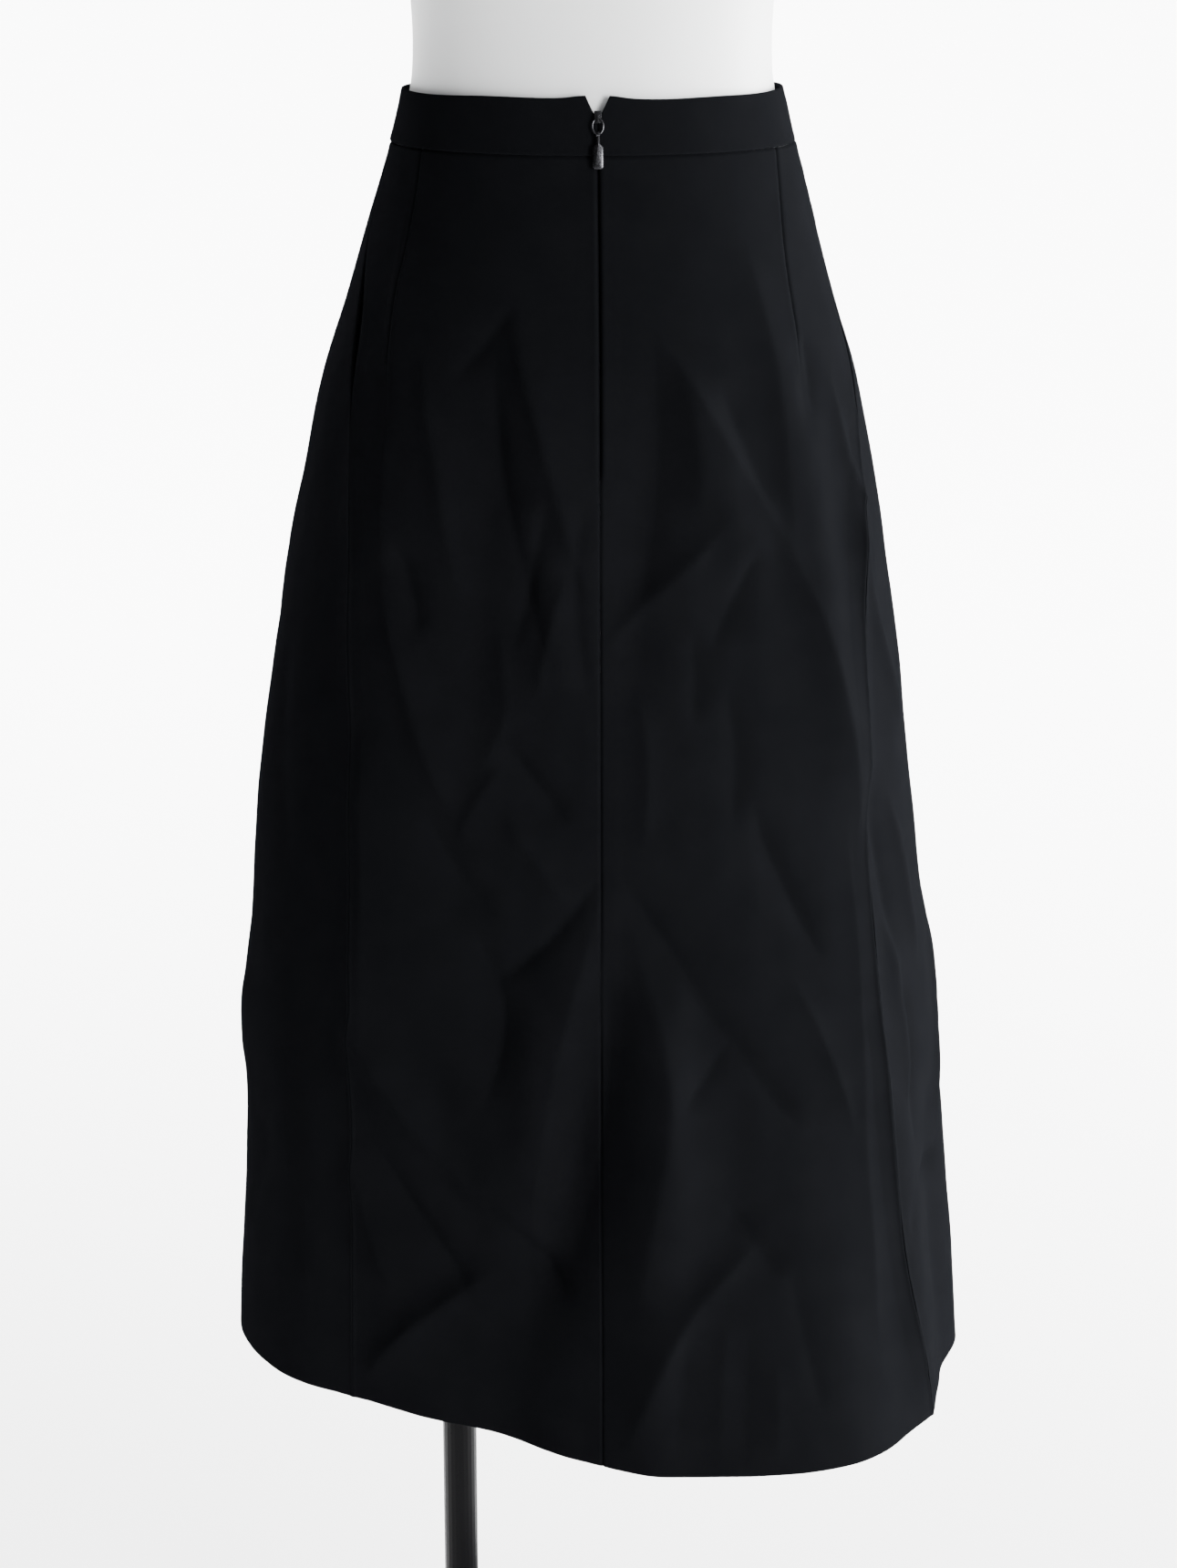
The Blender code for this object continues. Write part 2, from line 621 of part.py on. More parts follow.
def build_tab(material):
    """A barrel round the ring's lower wire, and the flat tab that hangs from it."""
    _, tab_axis = pull_places()
    hole, outer, barrel_width = TAB_BARREL
    sides = BARREL_SIDES
    bm = bmesh.new()
    loops = []
    for radius, x in ((hole, -0.5), (outer, -0.5), (outer, 0.5), (hole, 0.5)):
        loops.append([bm.verts.new(lean_point(tab_axis, x * barrel_width,
                                              radius * sin(2 * pi * k / sides),
                                              radius * cos(2 * pi * k / sides)))
                      for k in range(sides)])
    for low, high in zip(loops, loops[1:] + loops[:1]):
        for k in range(sides):
            n = (k + 1) % sides
            bm.faces.new((low[k], low[n], high[n], high[k]))
    width, thick, length = TAB_SIZE
    half, neck = 0.5 * width, 0.5 * TAB_NECK[0]
    start = 0.5 * (hole + outer)
    top = start + TAB_NECK[1]
    end = top + length
    right_side = ((neck, start), (neck, top), (half, top + half - neck),
                  (half, end - TAB_CORNER), (half - TAB_CORNER, end))
    outline = right_side + tuple((-x, down) for x, down in reversed(right_side))
    faces = [[lean_point(tab_axis, x, out, down) for x, down in outline]
             for out in (-0.5 * thick, 0.5 * thick)]
    join_bodies("zip_tab", (bm, capped_rings(faces)), material)


# ------------------------------------------------------------------ the stand
def build_form(material):
    turns = np.linspace(0.0, 360.0, FORM_COLUMNS, endpoint=False)
    rings = []
    for station in FORM_STATIONS:
        radius = rounded_outline(turns, station.half_width, station.half_width,
                                 station.back, station.front, FORM_SQUARENESS)
        z = WAIST_Z + station.height
        rings.append([(r * sin(t), r * cos(t), z) for r, t in zip(radius, np.radians(turns))])
    add_object("form_torso", capped_rings(rings), material, 60.0)

    top = FORM_STATIONS[-1]
    z = WAIST_Z + top.height + SEAM_GAP
    rings = []
    for height, proud in NECK_CAP:
        radius = rounded_outline(turns, top.half_width + proud, top.half_width + proud,
                                 top.back + proud, top.front + proud, FORM_SQUARENESS)
        rings.append([(r * sin(t), r * cos(t), z + height) for r, t in zip(radius, np.radians(turns))])
    add_object("form_neck_cap", capped_rings(rings), material)


def build_stand(coat):
    sole = WAIST_Z + FORM_STATIONS[0].height
    place = (POLE_X, 0.0)
    hole = POLE_RADIUS + SOCKET_PLAY

    socket_top = sole - SEAM_GAP
    socket_low = socket_top - SOCKET_HEIGHT
    profile = ((hole, socket_low), (SOCKET_RADIUS - SOCKET_EDGE, socket_low),
               (SOCKET_RADIUS, socket_low + 2.0 * SOCKET_EDGE),
               (SOCKET_RADIUS + SOCKET_FLARE, socket_top), (hole, socket_top))
    add_object("form_socket", turned_mesh(profile, place, POLE_SIDES), coat)

    profile = ((0.0, BASE_HEIGHT + SEAM_GAP), (POLE_RADIUS, BASE_HEIGHT + SEAM_GAP),
               (POLE_RADIUS, socket_top - SEAM_GAP), (0.0, socket_top - SEAM_GAP))
    add_object("pole", turned_mesh(profile, place, POLE_SIDES), coat)

    low = BASE_HEIGHT + SEAM_GAP
    profile = ((hole, low), (COLLAR_RADIUS, low),
               (COLLAR_RADIUS - COLLAR_EDGE, low + COLLAR_STEP),
               (hole + COLLAR_STEP, low + COLLAR_HEIGHT), (hole, low + COLLAR_HEIGHT))
    add_object("pole_collar", turned_mesh(profile, place, POLE_SIDES), coat)

    profile = ((0.0, 0.0), (BASE_RADIUS, 0.0), (BASE_RADIUS, BASE_HEIGHT - BASE_EDGE),
               (BASE_RADIUS - 0.3 * BASE_EDGE, BASE_HEIGHT - 0.3 * BASE_EDGE),
               (BASE_RADIUS - BASE_EDGE, BASE_HEIGHT), (0.0, BASE_HEIGHT))
    add_object("base", turned_mesh(profile, (0.0, 0.0), BASE_SIDES), coat)


def build():
    clear_scene()
    crepe = make_material("black_crepe", (0.0065, 0.0068, 0.0078), 0.85)
    tape = make_material("zip_tape_black", (0.008, 0.008, 0.009), 0.8)
    gunmetal = make_material("gunmetal", (0.09, 0.09, 0.10), 0.3, 0.9)
    form_white = make_material("form_white", (0.80, 0.80, 0.79), 0.5)
    pole_black = make_material("pole_black", (0.02, 0.02, 0.022), 0.35, 0.3)
    build_waistband(crepe)
    build_panels(crepe)
    build_pockets(crepe)
    build_zip_tape(tape)
    build_slider(gunmetal)
    build_ring(gunmetal)
    build_tab(gunmetal)
    build_form(form_white)
    build_stand(pole_black)


build()
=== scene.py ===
"""Looks of the draped skirt on its dress form.

Metres, +Z up. The skirt's front faces -Y and the wearer's left is +X. A place on the
cloth is an angle round the body, in degrees from the centre back and growing towards
the wearer's left, and a drop below the top edge of the waistband.
"""
from collections import namedtuple
from math import cos, pi, radians, sin

import bmesh
import bpy
import numpy as np
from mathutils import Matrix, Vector


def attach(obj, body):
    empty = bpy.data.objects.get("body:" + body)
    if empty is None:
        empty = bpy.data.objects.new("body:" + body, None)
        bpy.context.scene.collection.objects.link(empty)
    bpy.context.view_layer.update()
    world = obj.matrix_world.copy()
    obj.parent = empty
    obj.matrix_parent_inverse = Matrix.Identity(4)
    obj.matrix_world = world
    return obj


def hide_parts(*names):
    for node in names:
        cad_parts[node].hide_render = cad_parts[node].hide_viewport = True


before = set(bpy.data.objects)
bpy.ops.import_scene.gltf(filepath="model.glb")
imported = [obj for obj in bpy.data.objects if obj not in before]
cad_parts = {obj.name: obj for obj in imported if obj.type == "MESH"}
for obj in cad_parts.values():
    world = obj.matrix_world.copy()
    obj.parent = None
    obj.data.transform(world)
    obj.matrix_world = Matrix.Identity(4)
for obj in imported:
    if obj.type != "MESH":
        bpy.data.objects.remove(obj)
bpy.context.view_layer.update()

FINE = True


def table(row, lines):
    """Lines of plain values as rows with named columns."""
    return tuple(row(*values) for values in lines)


# ------------------------------------------------------------------ driving sizes
WAIST_Z = 1.220
SKIRT_LENGTH = 0.8955
BAND_HEIGHT = 0.0345
BAND_PROUD = 0.0006
BAND_WALL = 0.0024
CENTER_BACK = -2.0
NOTCH_WIDTH = 0.0150
NOTCH_DEPTH = 0.0125
NOTCH_CURVE = 0.85         # below 1, the V's two edges bow outwards
NOTCH_FLICK = 0.0014       # the band's corners lift beside the V
NOTCH_FLICK_REACH = 0.0110
TAPE_WIDTH = 0.0220
TAPE_TOP = 0.0118
TAPE_END = 0.2320
TAPE_WALL = 0.0006
TAPE_SET_BACK = 0.0010     # behind the wall that it lies against
TAPE_ROWS, TAPE_COLUMNS = 110, 24
POCKET_TOP = 0.0850
POCKET_END = 0.2050
POCKET_GAPE = 0.0070
POCKET_FLOOR = 0.2700
POCKET_LAP = 4.0           # degrees that the bag reaches behind its seam
POCKET_REACH = 36.0        # degrees from its seam, towards the front
POCKET_RISE = 0.0150       # the bag starts this far above the opening
POCKET_DEPTH = 0.0032      # its face lies this far inside the cloth's

CREPE = 0.0009             # one layer of the cloth
HEM_DEPTH = 0.0320         # the hem is turned up this far, so it is two layers thick
HEM_WALL = 0.0018
HEM_ROUNDING = 0.0009
PRESSED_EDGE = 0.0120      # seam allowances lie open inside, this far from a seam
PRESSED_WALL = 0.0016
THINNEST = 0.0003
SEAM_SLIT = 0.00016        # what is left open between two sewn edges

PICTURE_SIZE = (1291, 1720)
CAMERA_REACH = 2.11922     # from the skirt's axis, along +Y
CAMERA_ABOVE_WAIST = 0.18541
CAMERA_DOWN = 17.345       # degrees below the horizon
CAMERA_X = 0.0024
CAMERA_LENS = 73.256       # mm
CAMERA_SENSOR = 36.0       # mm, along the picture's long side
SEARCH_SHARES = (0.82, 1.16)        # of CAMERA_REACH, between which a ray meets the cloth
SEARCH_STEPS = 281

Level = namedtuple("Level", "drop left right back front")
SKIRT_LEVELS = table(Level, (
    (0.000, 0.1235, 0.1235, 0.0920, 0.0900),
    (0.034, 0.1315, 0.1325, 0.0990, 0.0965),
    (0.085, 0.1475, 0.1460, 0.1140, 0.1090),
    (0.135, 0.1625, 0.1595, 0.1280, 0.1190),
    (0.185, 0.1790, 0.1755, 0.1380, 0.1270),
    (0.235, 0.1905, 0.1865, 0.1440, 0.1330),
    (0.310, 0.2045, 0.1995, 0.1500, 0.1410),
    (0.385, 0.2185, 0.2105, 0.1555, 0.1490),
    (0.465, 0.2310, 0.2205, 0.1610, 0.1570),
    (0.545, 0.2385, 0.2305, 0.1665, 0.1640),
    (0.625, 0.2460, 0.2400, 0.1725, 0.1710),
    (0.740, 0.2495, 0.2530, 0.1820, 0.1800),
    (0.8955, 0.2585, 0.2665, 0.1920, 0.1900),
))
SKIRT_SQUARENESS = 2.2     # 2 is an ellipse
WAIST_SQUARENESS = 2.0
FORM_SQUARENESS = 2.0
HIP_DROP = 0.3000

HemSwing = namedtuple("HemSwing", "angle out")
HEM_SWING = table(HemSwing, (
    (-180, 0.000),
    (-150, 0.010),
    (-120, -0.006),
    (-90, 0.000),
    (-73, 0.000),
    (-57, 0.024),
    (-43, 0.044),
    (-27, 0.037),
    (-10, 0.021),
    (4, 0.001),
    (21, -0.029),
    (40, -0.041),
    (58, -0.044),
    (73, -0.022),
    (92, 0.000),
    (125, 0.010),
    (155, -0.008),
    (180, 0.000),
))
SWING_START = 0.4200

Fold = namedtuple("Fold", "top end top_angle end_angle rise width")
FOLDS = table(Fold, (
    (0.130, 0.450, 24.0, -2.0, 0.0050, 0.024),
    (0.150, 0.520, 33.0, 22.0, -0.0045, 0.024),
    (0.150, 0.420, -16.0, -7.0, -0.0055, 0.020),
    (0.140, 0.330, -22.0, -38.0, 0.0045, 0.020),
    (0.100, 0.420, -42.0, -50.0, -0.0050, 0.018),
    (0.120, 0.520, -48.0, -58.0, 0.0060, 0.022),
    (0.160, 0.600, 56.0, 40.0, 0.0045, 0.026),
    (0.480, 0.760, 3.0, 15.0, 0.0100, 0.026),
    (0.520, 0.860, -3.0, 14.0, -0.0170, 0.026),
    (0.540, 0.780, -13.0, -14.0, 0.0110, 0.026),
    (0.640, 0.960, -14.0, -9.0, 0.0085, 0.022),
    (0.560, 0.960, -60.0, -61.0, 0.0075, 0.022),
    (0.620, 0.960, -76.0, -78.0, -0.0090, 0.026),
    (0.560, 0.800, 44.0, 22.0, -0.0070, 0.024),
    (0.560, 0.960, 62.0, 66.0, 0.0060, 0.030),
    (0.260, 0.960, 132.0, 128.0, 0.0090, 0.036),
    (0.340, 0.960, 158.0, 163.0, -0.0100, 0.036),
    (0.300, 0.960, 186.0, 188.0, 0.0090, 0.038),
    (0.340, 0.960, 214.0, 210.0, -0.0090, 0.034),
    (0.260, 0.960, 236.0, 234.0, 0.0080, 0.036),
))
FOLD_FADE = 0.40

Seam = namedtuple("Seam", "drop left right")
SIDE_SEAMS = table(Seam, (
    (0.034, 86.0, 90.0),
    (0.090, 79.0, 88.0),
    (0.140, 70.0, 84.0),
    (0.200, 63.0, 75.0),
    (0.260, 57.5, 67.0),
    (0.350, 54.0, 62.5),
    (0.450, 51.5, 61.0),
    (0.550, 51.0, 58.5),
    (0.660, 52.0, 57.0),
    (0.780, 54.5, 57.0),
    (0.8955, 58.0, 61.0),
))

# Darts, as angles by drop. Below its tip a dart's line only guides the mesh.
Dart = namedtuple("Dart", "drop left right front_left front_right")
DARTS = table(Dart, (
    (0.034, 63.0, -69.0, 137.0, 223.0),
    (0.089, 58.0, -62.0, 141.0, 219.0),
    (0.146, 55.0, -57.5, 144.0, 216.0),
    (0.186, 52.0, -55.0, 146.0, 214.0),
    (0.350, 44.0, -50.0, 148.0, 212.0),
    (0.600, 40.0, -46.0, 148.0, 212.0),
    (0.8955, 44.0, -44.0, 148.0, 212.0),
))
DART_TIPS = {"left": 0.188, "right": 0.183, "front_left": 0.128, "front_right": 0.131}

# Creases pressed and hung into the cloth: ridges have a positive rise, troughs a
# negative one. A crease has a width on the wearer's left of its line and one on the
# right. The camera sees those of the back, and their lines are points down each crease,
# given in its picture, PICTURE_SIZE pixels large.
Crease = namedtuple("Crease", "rise left right line")
SEEN_CREASES = table(Crease, (
    (-0.0034, 0.020, 0.010, ((543, 400), (545, 500), (565, 600), (585, 680), (605, 740))),
    (0.0052, 0.009, 0.028, ((566, 365), (585, 440), (603, 510), (622, 580), (642, 645))),
    (-0.0020, 0.014, 0.012, ((716, 372), (722, 440), (722, 520), (716, 590), (705, 650))),
    (0.0028, 0.016, 0.009, ((715, 365), (745, 405), (785, 470), (825, 535), (868, 612))),
    (0.0024, 0.009, 0.012, ((745, 405), (757, 450), (766, 500), (768, 550))),
    (-0.0022, 0.009, 0.009, ((790, 430), (815, 490), (838, 550))),
    (0.0046, 0.026, 0.020, ((820, 285), (841, 380), (852, 460), (858, 540), (868, 610))),
    (-0.0020, 0.007, 0.008, ((880, 370), (888, 410), (890, 450))),
    (0.0034, 0.008, 0.011, ((788, 585), (745, 628), (700, 668), (672, 705))),
    (-0.0026, 0.008, 0.009, ((828, 610), (805, 665), (785, 705))),
    (0.0054, 0.028, 0.014, ((866, 610), (888, 660), (905, 705), (920, 765), (932, 840), (941, 900))),
    (0.0044, 0.030, 0.014, ((930, 930), (934, 1030), (938, 1140), (944, 1290), (960, 1450))),
    (0.0042, 0.008, 0.008, ((931, 545), (940, 616), (952, 661), (967, 719), (984, 791))),
    (-0.0030, 0.007, 0.008, ((437, 600), (447, 640), (460, 695))),
    (0.0046, 0.010, 0.018, ((424, 655), (440, 720), (455, 780), (475, 840), (497, 890))),
    (0.0040, 0.014, 0.036, ((446, 250), (440, 380), (430, 500), (424, 640))),
    (0.0036, 0.014, 0.032, ((400, 820), (402, 920), (400, 1020), (398, 1120))),
    (0.0026, 0.018, 0.007, ((548, 700), (558, 760), (553, 800), (532, 838))),
    (-0.0036, 0.009, 0.007, ((558, 822), (585, 860), (620, 900))),
    (0.0030, 0.007, 0.022, ((548, 845), (525, 880), (505, 920))),
    (-0.0022, 0.008, 0.007, ((560, 342), (530, 380), (500, 415))),
    (-0.0034, 0.008, 0.007, ((652, 972), (605, 1035), (552, 1072))),
    (-0.0036, 0.016, 0.010, ((528, 1035), (550, 1090), (552, 1140), (535, 1205))),
    (0.0050, 0.011, 0.040, ((652, 1015), (630, 1100), (610, 1180), (598, 1260),
                            (590, 1330), (592, 1390))),
    (-0.0032, 0.014, 0.024, ((660, 1010), (666, 1100), (670, 1180), (662, 1260),
                             (645, 1330), (622, 1405))),
    (0.0046, 0.020, 0.016, ((700, 1050), (718, 1110), (733, 1180), (735, 1240),
                            (722, 1310), (706, 1380), (700, 1430))),
    (-0.0036, 0.008, 0.007, ((692, 980), (735, 1042), (770, 1096), (805, 1142))),
    (-0.0032, 0.008, 0.007, ((800, 1136), (832, 1178), (874, 1230))),
    (-0.0026, 0.011, 0.008, ((800, 1148), (770, 1190), (748, 1218))),
    (-0.0036, 0.010, 0.007, ((828, 890), (850, 940), (873, 990), (894, 1038))),
    (0.0075, 0.014, 0.026, ((384, 1115), (430, 1190), (470, 1245), (510, 1292), (560, 1350))),
    (-0.0046, 0.009, 0.007, ((530, 1308), (580, 1364), (622, 1418))),
    (-0.0050, 0.020, 0.009, ((420, 1266), (455, 1330), (480, 1370), (514, 1422))),
    (0.0046, 0.009, 0.012, ((522, 1400), (480, 1435), (450, 1462), (420, 1506))),
    (0.0034, 0.010, 0.016, ((388, 1262), (398, 1310), (412, 1360), (428, 1412))),
    (0.0044, 0.008, 0.014, ((837, 1363), (800, 1395), (760, 1435), (725, 1490),
                            (700, 1540), (684, 1583))),
    (-0.0034, 0.008, 0.007, ((798, 1326), (825, 1355), (858, 1394))),
    (-0.0016, 0.008, 0.008, ((754, 1470), (748, 1530), (742, 1590))),
    (0.0018, 0.008, 0.008, ((796, 1450), (792, 1530), (788, 1602))),
    (-0.0017, 0.008, 0.008, ((822, 1470), (820, 1530), (816, 1604))),
    (0.0015, 0.008, 0.008, ((852, 1500), (852, 1550), (850, 1604))),
    (-0.0020, 0.008, 0.008, ((868, 1400), (886, 1470), (904, 1540))),
    (0.0036, 0.007, 0.008, ((968, 1008), (984, 1080), (992, 1144), (996, 1210))),
    (0.0032, 0.006, 0.007, ((1012, 986), (1020, 1070), (1024, 1140), (1028, 1210))),
    (-0.0034, 0.008, 0.008, ((1034, 1243), (1015, 1280), (1003, 1310), (995, 1368))),
    (0.0020, 0.008, 0.008, ((870, 1080), (905, 1150), (930, 1230))),
    (-0.0022, 0.009, 0.008, ((760, 700), (765, 740), (762, 790))),
    (0.0028, 0.006, 0.007, ((911, 428), (921, 480), (932, 525), (943, 565), (958, 642))),
    (-0.0032, 0.009, 0.009, ((950, 860), (966, 960), (980, 1040))),
    (-0.0030, 0.009, 0.008, ((985, 1060), (1000, 1150), (1004, 1240))),
    (0.0034, 0.007, 0.007, ((975, 880), (990, 960), (1004, 1050))),
    (-0.0026, 0.008, 0.008, ((640, 560), (628, 640), (636, 720), (648, 780))),
    (0.0030, 0.008, 0.014, ((470, 400), (478, 480), (492, 560), (500, 640))),
    (-0.0028, 0.008, 0.009, ((600, 560), (580, 640), (566, 700))),
    (0.0024, 0.007, 0.008, ((620, 640), (600, 700), (590, 760))),
    (-0.0024, 0.008, 0.008, ((470, 900), (500, 960), (540, 1000))),
    (0.0026, 0.008, 0.009, ((560, 900), (590, 950), (620, 990))),
    (0.0020, 0.008, 0.008, ((700, 760), (712, 840), (706, 920))),
    (-0.0020, 0.009, 0.008, ((800, 760), (812, 830), (805, 900))),
))
# Those of the sides and the front run through (angle, drop) places.
HIDDEN_CREASES = table(Crease, (
    (0.0020, 0.013, 0.010, ((84, 0.240), (91, 0.330), (104, 0.420))),
    (-0.0018, 0.014, 0.014, ((74, 0.350), (72, 0.435), (66, 0.520))),
    (-0.0022, 0.011, 0.011, ((96, 0.470), (90, 0.545), (84, 0.620))),
    (0.0024, 0.014, 0.012, ((78, 0.580), (87, 0.640), (92, 0.700))),
    (-0.0020, 0.010, 0.010, ((72, 0.690), (78, 0.745), (84, 0.800))),
    (-0.0026, 0.013, 0.013, ((104, 0.640), (110, 0.710), (116, 0.780))),
    (0.0016, 0.011, 0.011, ((128, 0.200), (123, 0.265), (118, 0.330))),
    (-0.0020, 0.014, 0.012, ((142, 0.300), (138, 0.375), (128, 0.450))),
    (0.0022, 0.012, 0.014, ((150, 0.420), (158, 0.510), (166, 0.600))),
    (-0.0020, 0.010, 0.010, ((128, 0.480), (134, 0.540), (140, 0.600))),
    (0.0026, 0.014, 0.014, ((136, 0.600), (126, 0.670), (122, 0.740))),
    (-0.0024, 0.013, 0.010, ((176, 0.560), (170, 0.640), (160, 0.720))),
    (-0.0012, 0.011, 0.011, ((172, 0.170), (177, 0.230), (182, 0.290))),
    (0.0018, 0.011, 0.011, ((178, 0.330), (184, 0.400), (190, 0.470))),
    (0.0028, 0.014, 0.012, ((170, 0.690), (178, 0.760), (186, 0.830))),
    (-0.0026, 0.011, 0.011, ((196, 0.500), (205, 0.575), (208, 0.650))),
    (0.0016, 0.011, 0.011, ((214, 0.240), (208, 0.310), (202, 0.380))),
    (0.0020, 0.012, 0.014, ((226, 0.400), (220, 0.480), (214, 0.560))),
    (-0.0024, 0.011, 0.011, ((222, 0.640), (212, 0.710), (206, 0.780))),
    (-0.0018, 0.013, 0.010, ((246, 0.300), (241, 0.370), (236, 0.440))),
    (0.0024, 0.013, 0.013, ((254, 0.480), (250, 0.560), (242, 0.640))),
    (0.0022, 0.011, 0.011, ((248, 0.700), (241, 0.760), (234, 0.820))),
    (-0.0022, 0.013, 0.013, ((150, 0.760), (146, 0.820), (142, 0.880))),
))
CREASE_STRENGTH = 1.25     # on every rise
CREASE_RUN_OUT = 0.13      # a seen crease goes on past its picked ends, as a share of its length
SideRidge = namedtuple("SideRidge", "side rise start")
# The cloth stands out in a soft ridge along each side seam, lower again near the hem.
SIDE_RIDGES = (SideRidge("right", 0.0052, 0.110), SideRidge("left", 0.0022, 0.120))
RIDGE_WIDTH = 0.010
RIDGE_CREST = 0.0009
RIDGE_GROWTH = 0.12        # drop over which it rises
RIDGE_HEM_START = 0.78
RIDGE_HEM_EASE = 0.11
RIDGE_HEM_LOSS = 0.65

RIPPLE_START = 0.06        # fine unevenness of hanging cloth
RIPPLE_GROWTH = 0.20
RIPPLE_LONG = 0.0006
RIPPLE_SHORT = 0.00035

CREASE_CREST = 0.0012      # a crest or a trough's floor is rounded this much
CREASE_FADE = 0.30         # share of its length over which a crease rises or dies out
CREASE_FALL = 1.1          # 1 for straight-sided ridges, 2 for round ones
CREASE_END_WIDTH = 0.55    # share of its width that a crease has at its ends
CREASE_REACH = 4.0         # widths from its line, past which a crease is left out

# The dress form's outlines, by their height above the skirt's top edge.
Station = namedtuple("Station", "height half_width back front")
FORM_STATIONS = table(Station, (
    (-0.3720, 0.1280, 0.0880, 0.0780),
    (-0.3680, 0.1400, 0.0990, 0.0880),
    (-0.3500, 0.1520, 0.1080, 0.0950),
    (-0.3100, 0.1600, 0.1160, 0.1000),
    (-0.2700, 0.1655, 0.1210, 0.1030),
    (-0.2300, 0.1665, 0.1235, 0.1040),
    (-0.1850, 0.1615, 0.1195, 0.1020),
    (-0.1350, 0.1500, 0.1110, 0.0985),
    (-0.0850, 0.1390, 0.1020, 0.0940),
    (-0.0345, 0.1289, 0.0940, 0.0905),
    (0.0000, 0.1185, 0.0878, 0.0865),
    (0.0300, 0.1165, 0.0865, 0.0870),
    (0.0650, 0.1185, 0.0885, 0.0905),
    (0.1150, 0.1280, 0.0955, 0.1000),
    (0.1700, 0.1400, 0.1010, 0.1160),
    (0.2200, 0.1470, 0.1030, 0.1230),
    (0.2700, 0.1480, 0.1010, 0.1080),
    (0.3100, 0.1530, 0.0950, 0.0900),
    (0.3450, 0.1500, 0.0830, 0.0740),
    (0.3700, 0.1290, 0.0700, 0.0620),
    (0.3880, 0.0960, 0.0600, 0.0550),
    (0.4020, 0.0680, 0.0540, 0.0540),
    (0.4200, 0.0560, 0.0510, 0.0560),
    (0.4500, 0.0530, 0.0500, 0.0580),
))


# ------------------------------------------------------------------ shape helpers
def smooth(share):
    """Ease from 0 to 1."""
    t = np.clip(share, 0.0, 1.0)
    return t * t * (3.0 - 2.0 * t)


def bell(away, width):
    return np.exp(-(away / width) ** 2)


def rounded(away, radius):
    """A distance from a line, with the sharp bend at the line itself rounded off."""
    return np.sqrt(away**2 + radius**2) - radius


def read_curve(table, along, field, at):
    """A table's field as a smooth curve through its rows."""
    xs = np.array([getattr(row, along) for row in table], dtype=float)
    ys = np.array([getattr(row, field) for row in table], dtype=float)
    slopes = np.gradient(ys, xs)
    at = np.clip(at, xs[0], xs[-1])
    i = np.clip(np.searchsorted(xs, at) - 1, 0, len(xs) - 2)
    step = xs[i + 1] - xs[i]
    t = (at - xs[i]) / step
    rise = ys[i] * (2 * t**3 - 3 * t**2 + 1) + ys[i + 1] * (3 * t**2 - 2 * t**3)
    lean = slopes[i] * (t**3 - 2 * t**2 + t) + slopes[i + 1] * (t**3 - t**2)
    return rise + step * lean


def wrap(angle):
    """The same direction between -180 and 180 degrees."""
    return (angle + 180.0) % 360.0 - 180.0


def rounded_outline(angle, left, right, back, front, squareness):
    """Distance from the axis of an outline with four different reaches."""
    turn = np.radians(angle)
    across = np.abs(np.sin(turn)) / np.where(np.sin(turn) >= 0, left, right)
    along = np.abs(np.cos(turn)) / np.where(np.cos(turn) >= 0, back, front)
    return (across**squareness + along**squareness) ** (-1.0 / squareness)


def plain_radius(angle, drop):
    """The skirt's outline at a level, before its folds."""
    reach = [read_curve(SKIRT_LEVELS, "drop", side, drop)
             for side in ("left", "right", "back", "front")]
    squareness = WAIST_SQUARENESS + (SKIRT_SQUARENESS - WAIST_SQUARENESS) * smooth(drop / HIP_DROP)
    return rounded_outline(angle, *reach, squareness)


def fold_height(fold, angle, drop, radius):
    """How far one fold moves the cloth out."""
    share = (drop - fold.top) / (fold.end - fold.top)
    grown = smooth(share / FOLD_FADE) * smooth((1.0 - share) / FOLD_FADE)
    line = fold.top_angle + (fold.end_angle - fold.top_angle) * share
    away = np.radians(wrap(angle - line)) * radius
    return fold.rise * grown * bell(away, fold.width)


def smooth_line(points):
    """A line with its corners cut twice."""
    for _ in range(2):
        near = 0.75 * points[:-1] + 0.25 * points[1:]
        far = 0.25 * points[:-1] + 0.75 * points[1:]
        middle = np.stack((near, far), axis=1).reshape(-1, points.shape[1])
        points = np.concatenate((points[:1], middle, points[-1:]))
    return points


def run_lengths(points, axis=0):
    """Lengths along lines of points, from 0 at each line's start."""
    steps = np.linalg.norm(np.diff(points, axis=axis), axis=-1)
    return np.concatenate((np.zeros_like(steps.take([0], axis)), np.cumsum(steps, axis)), axis)


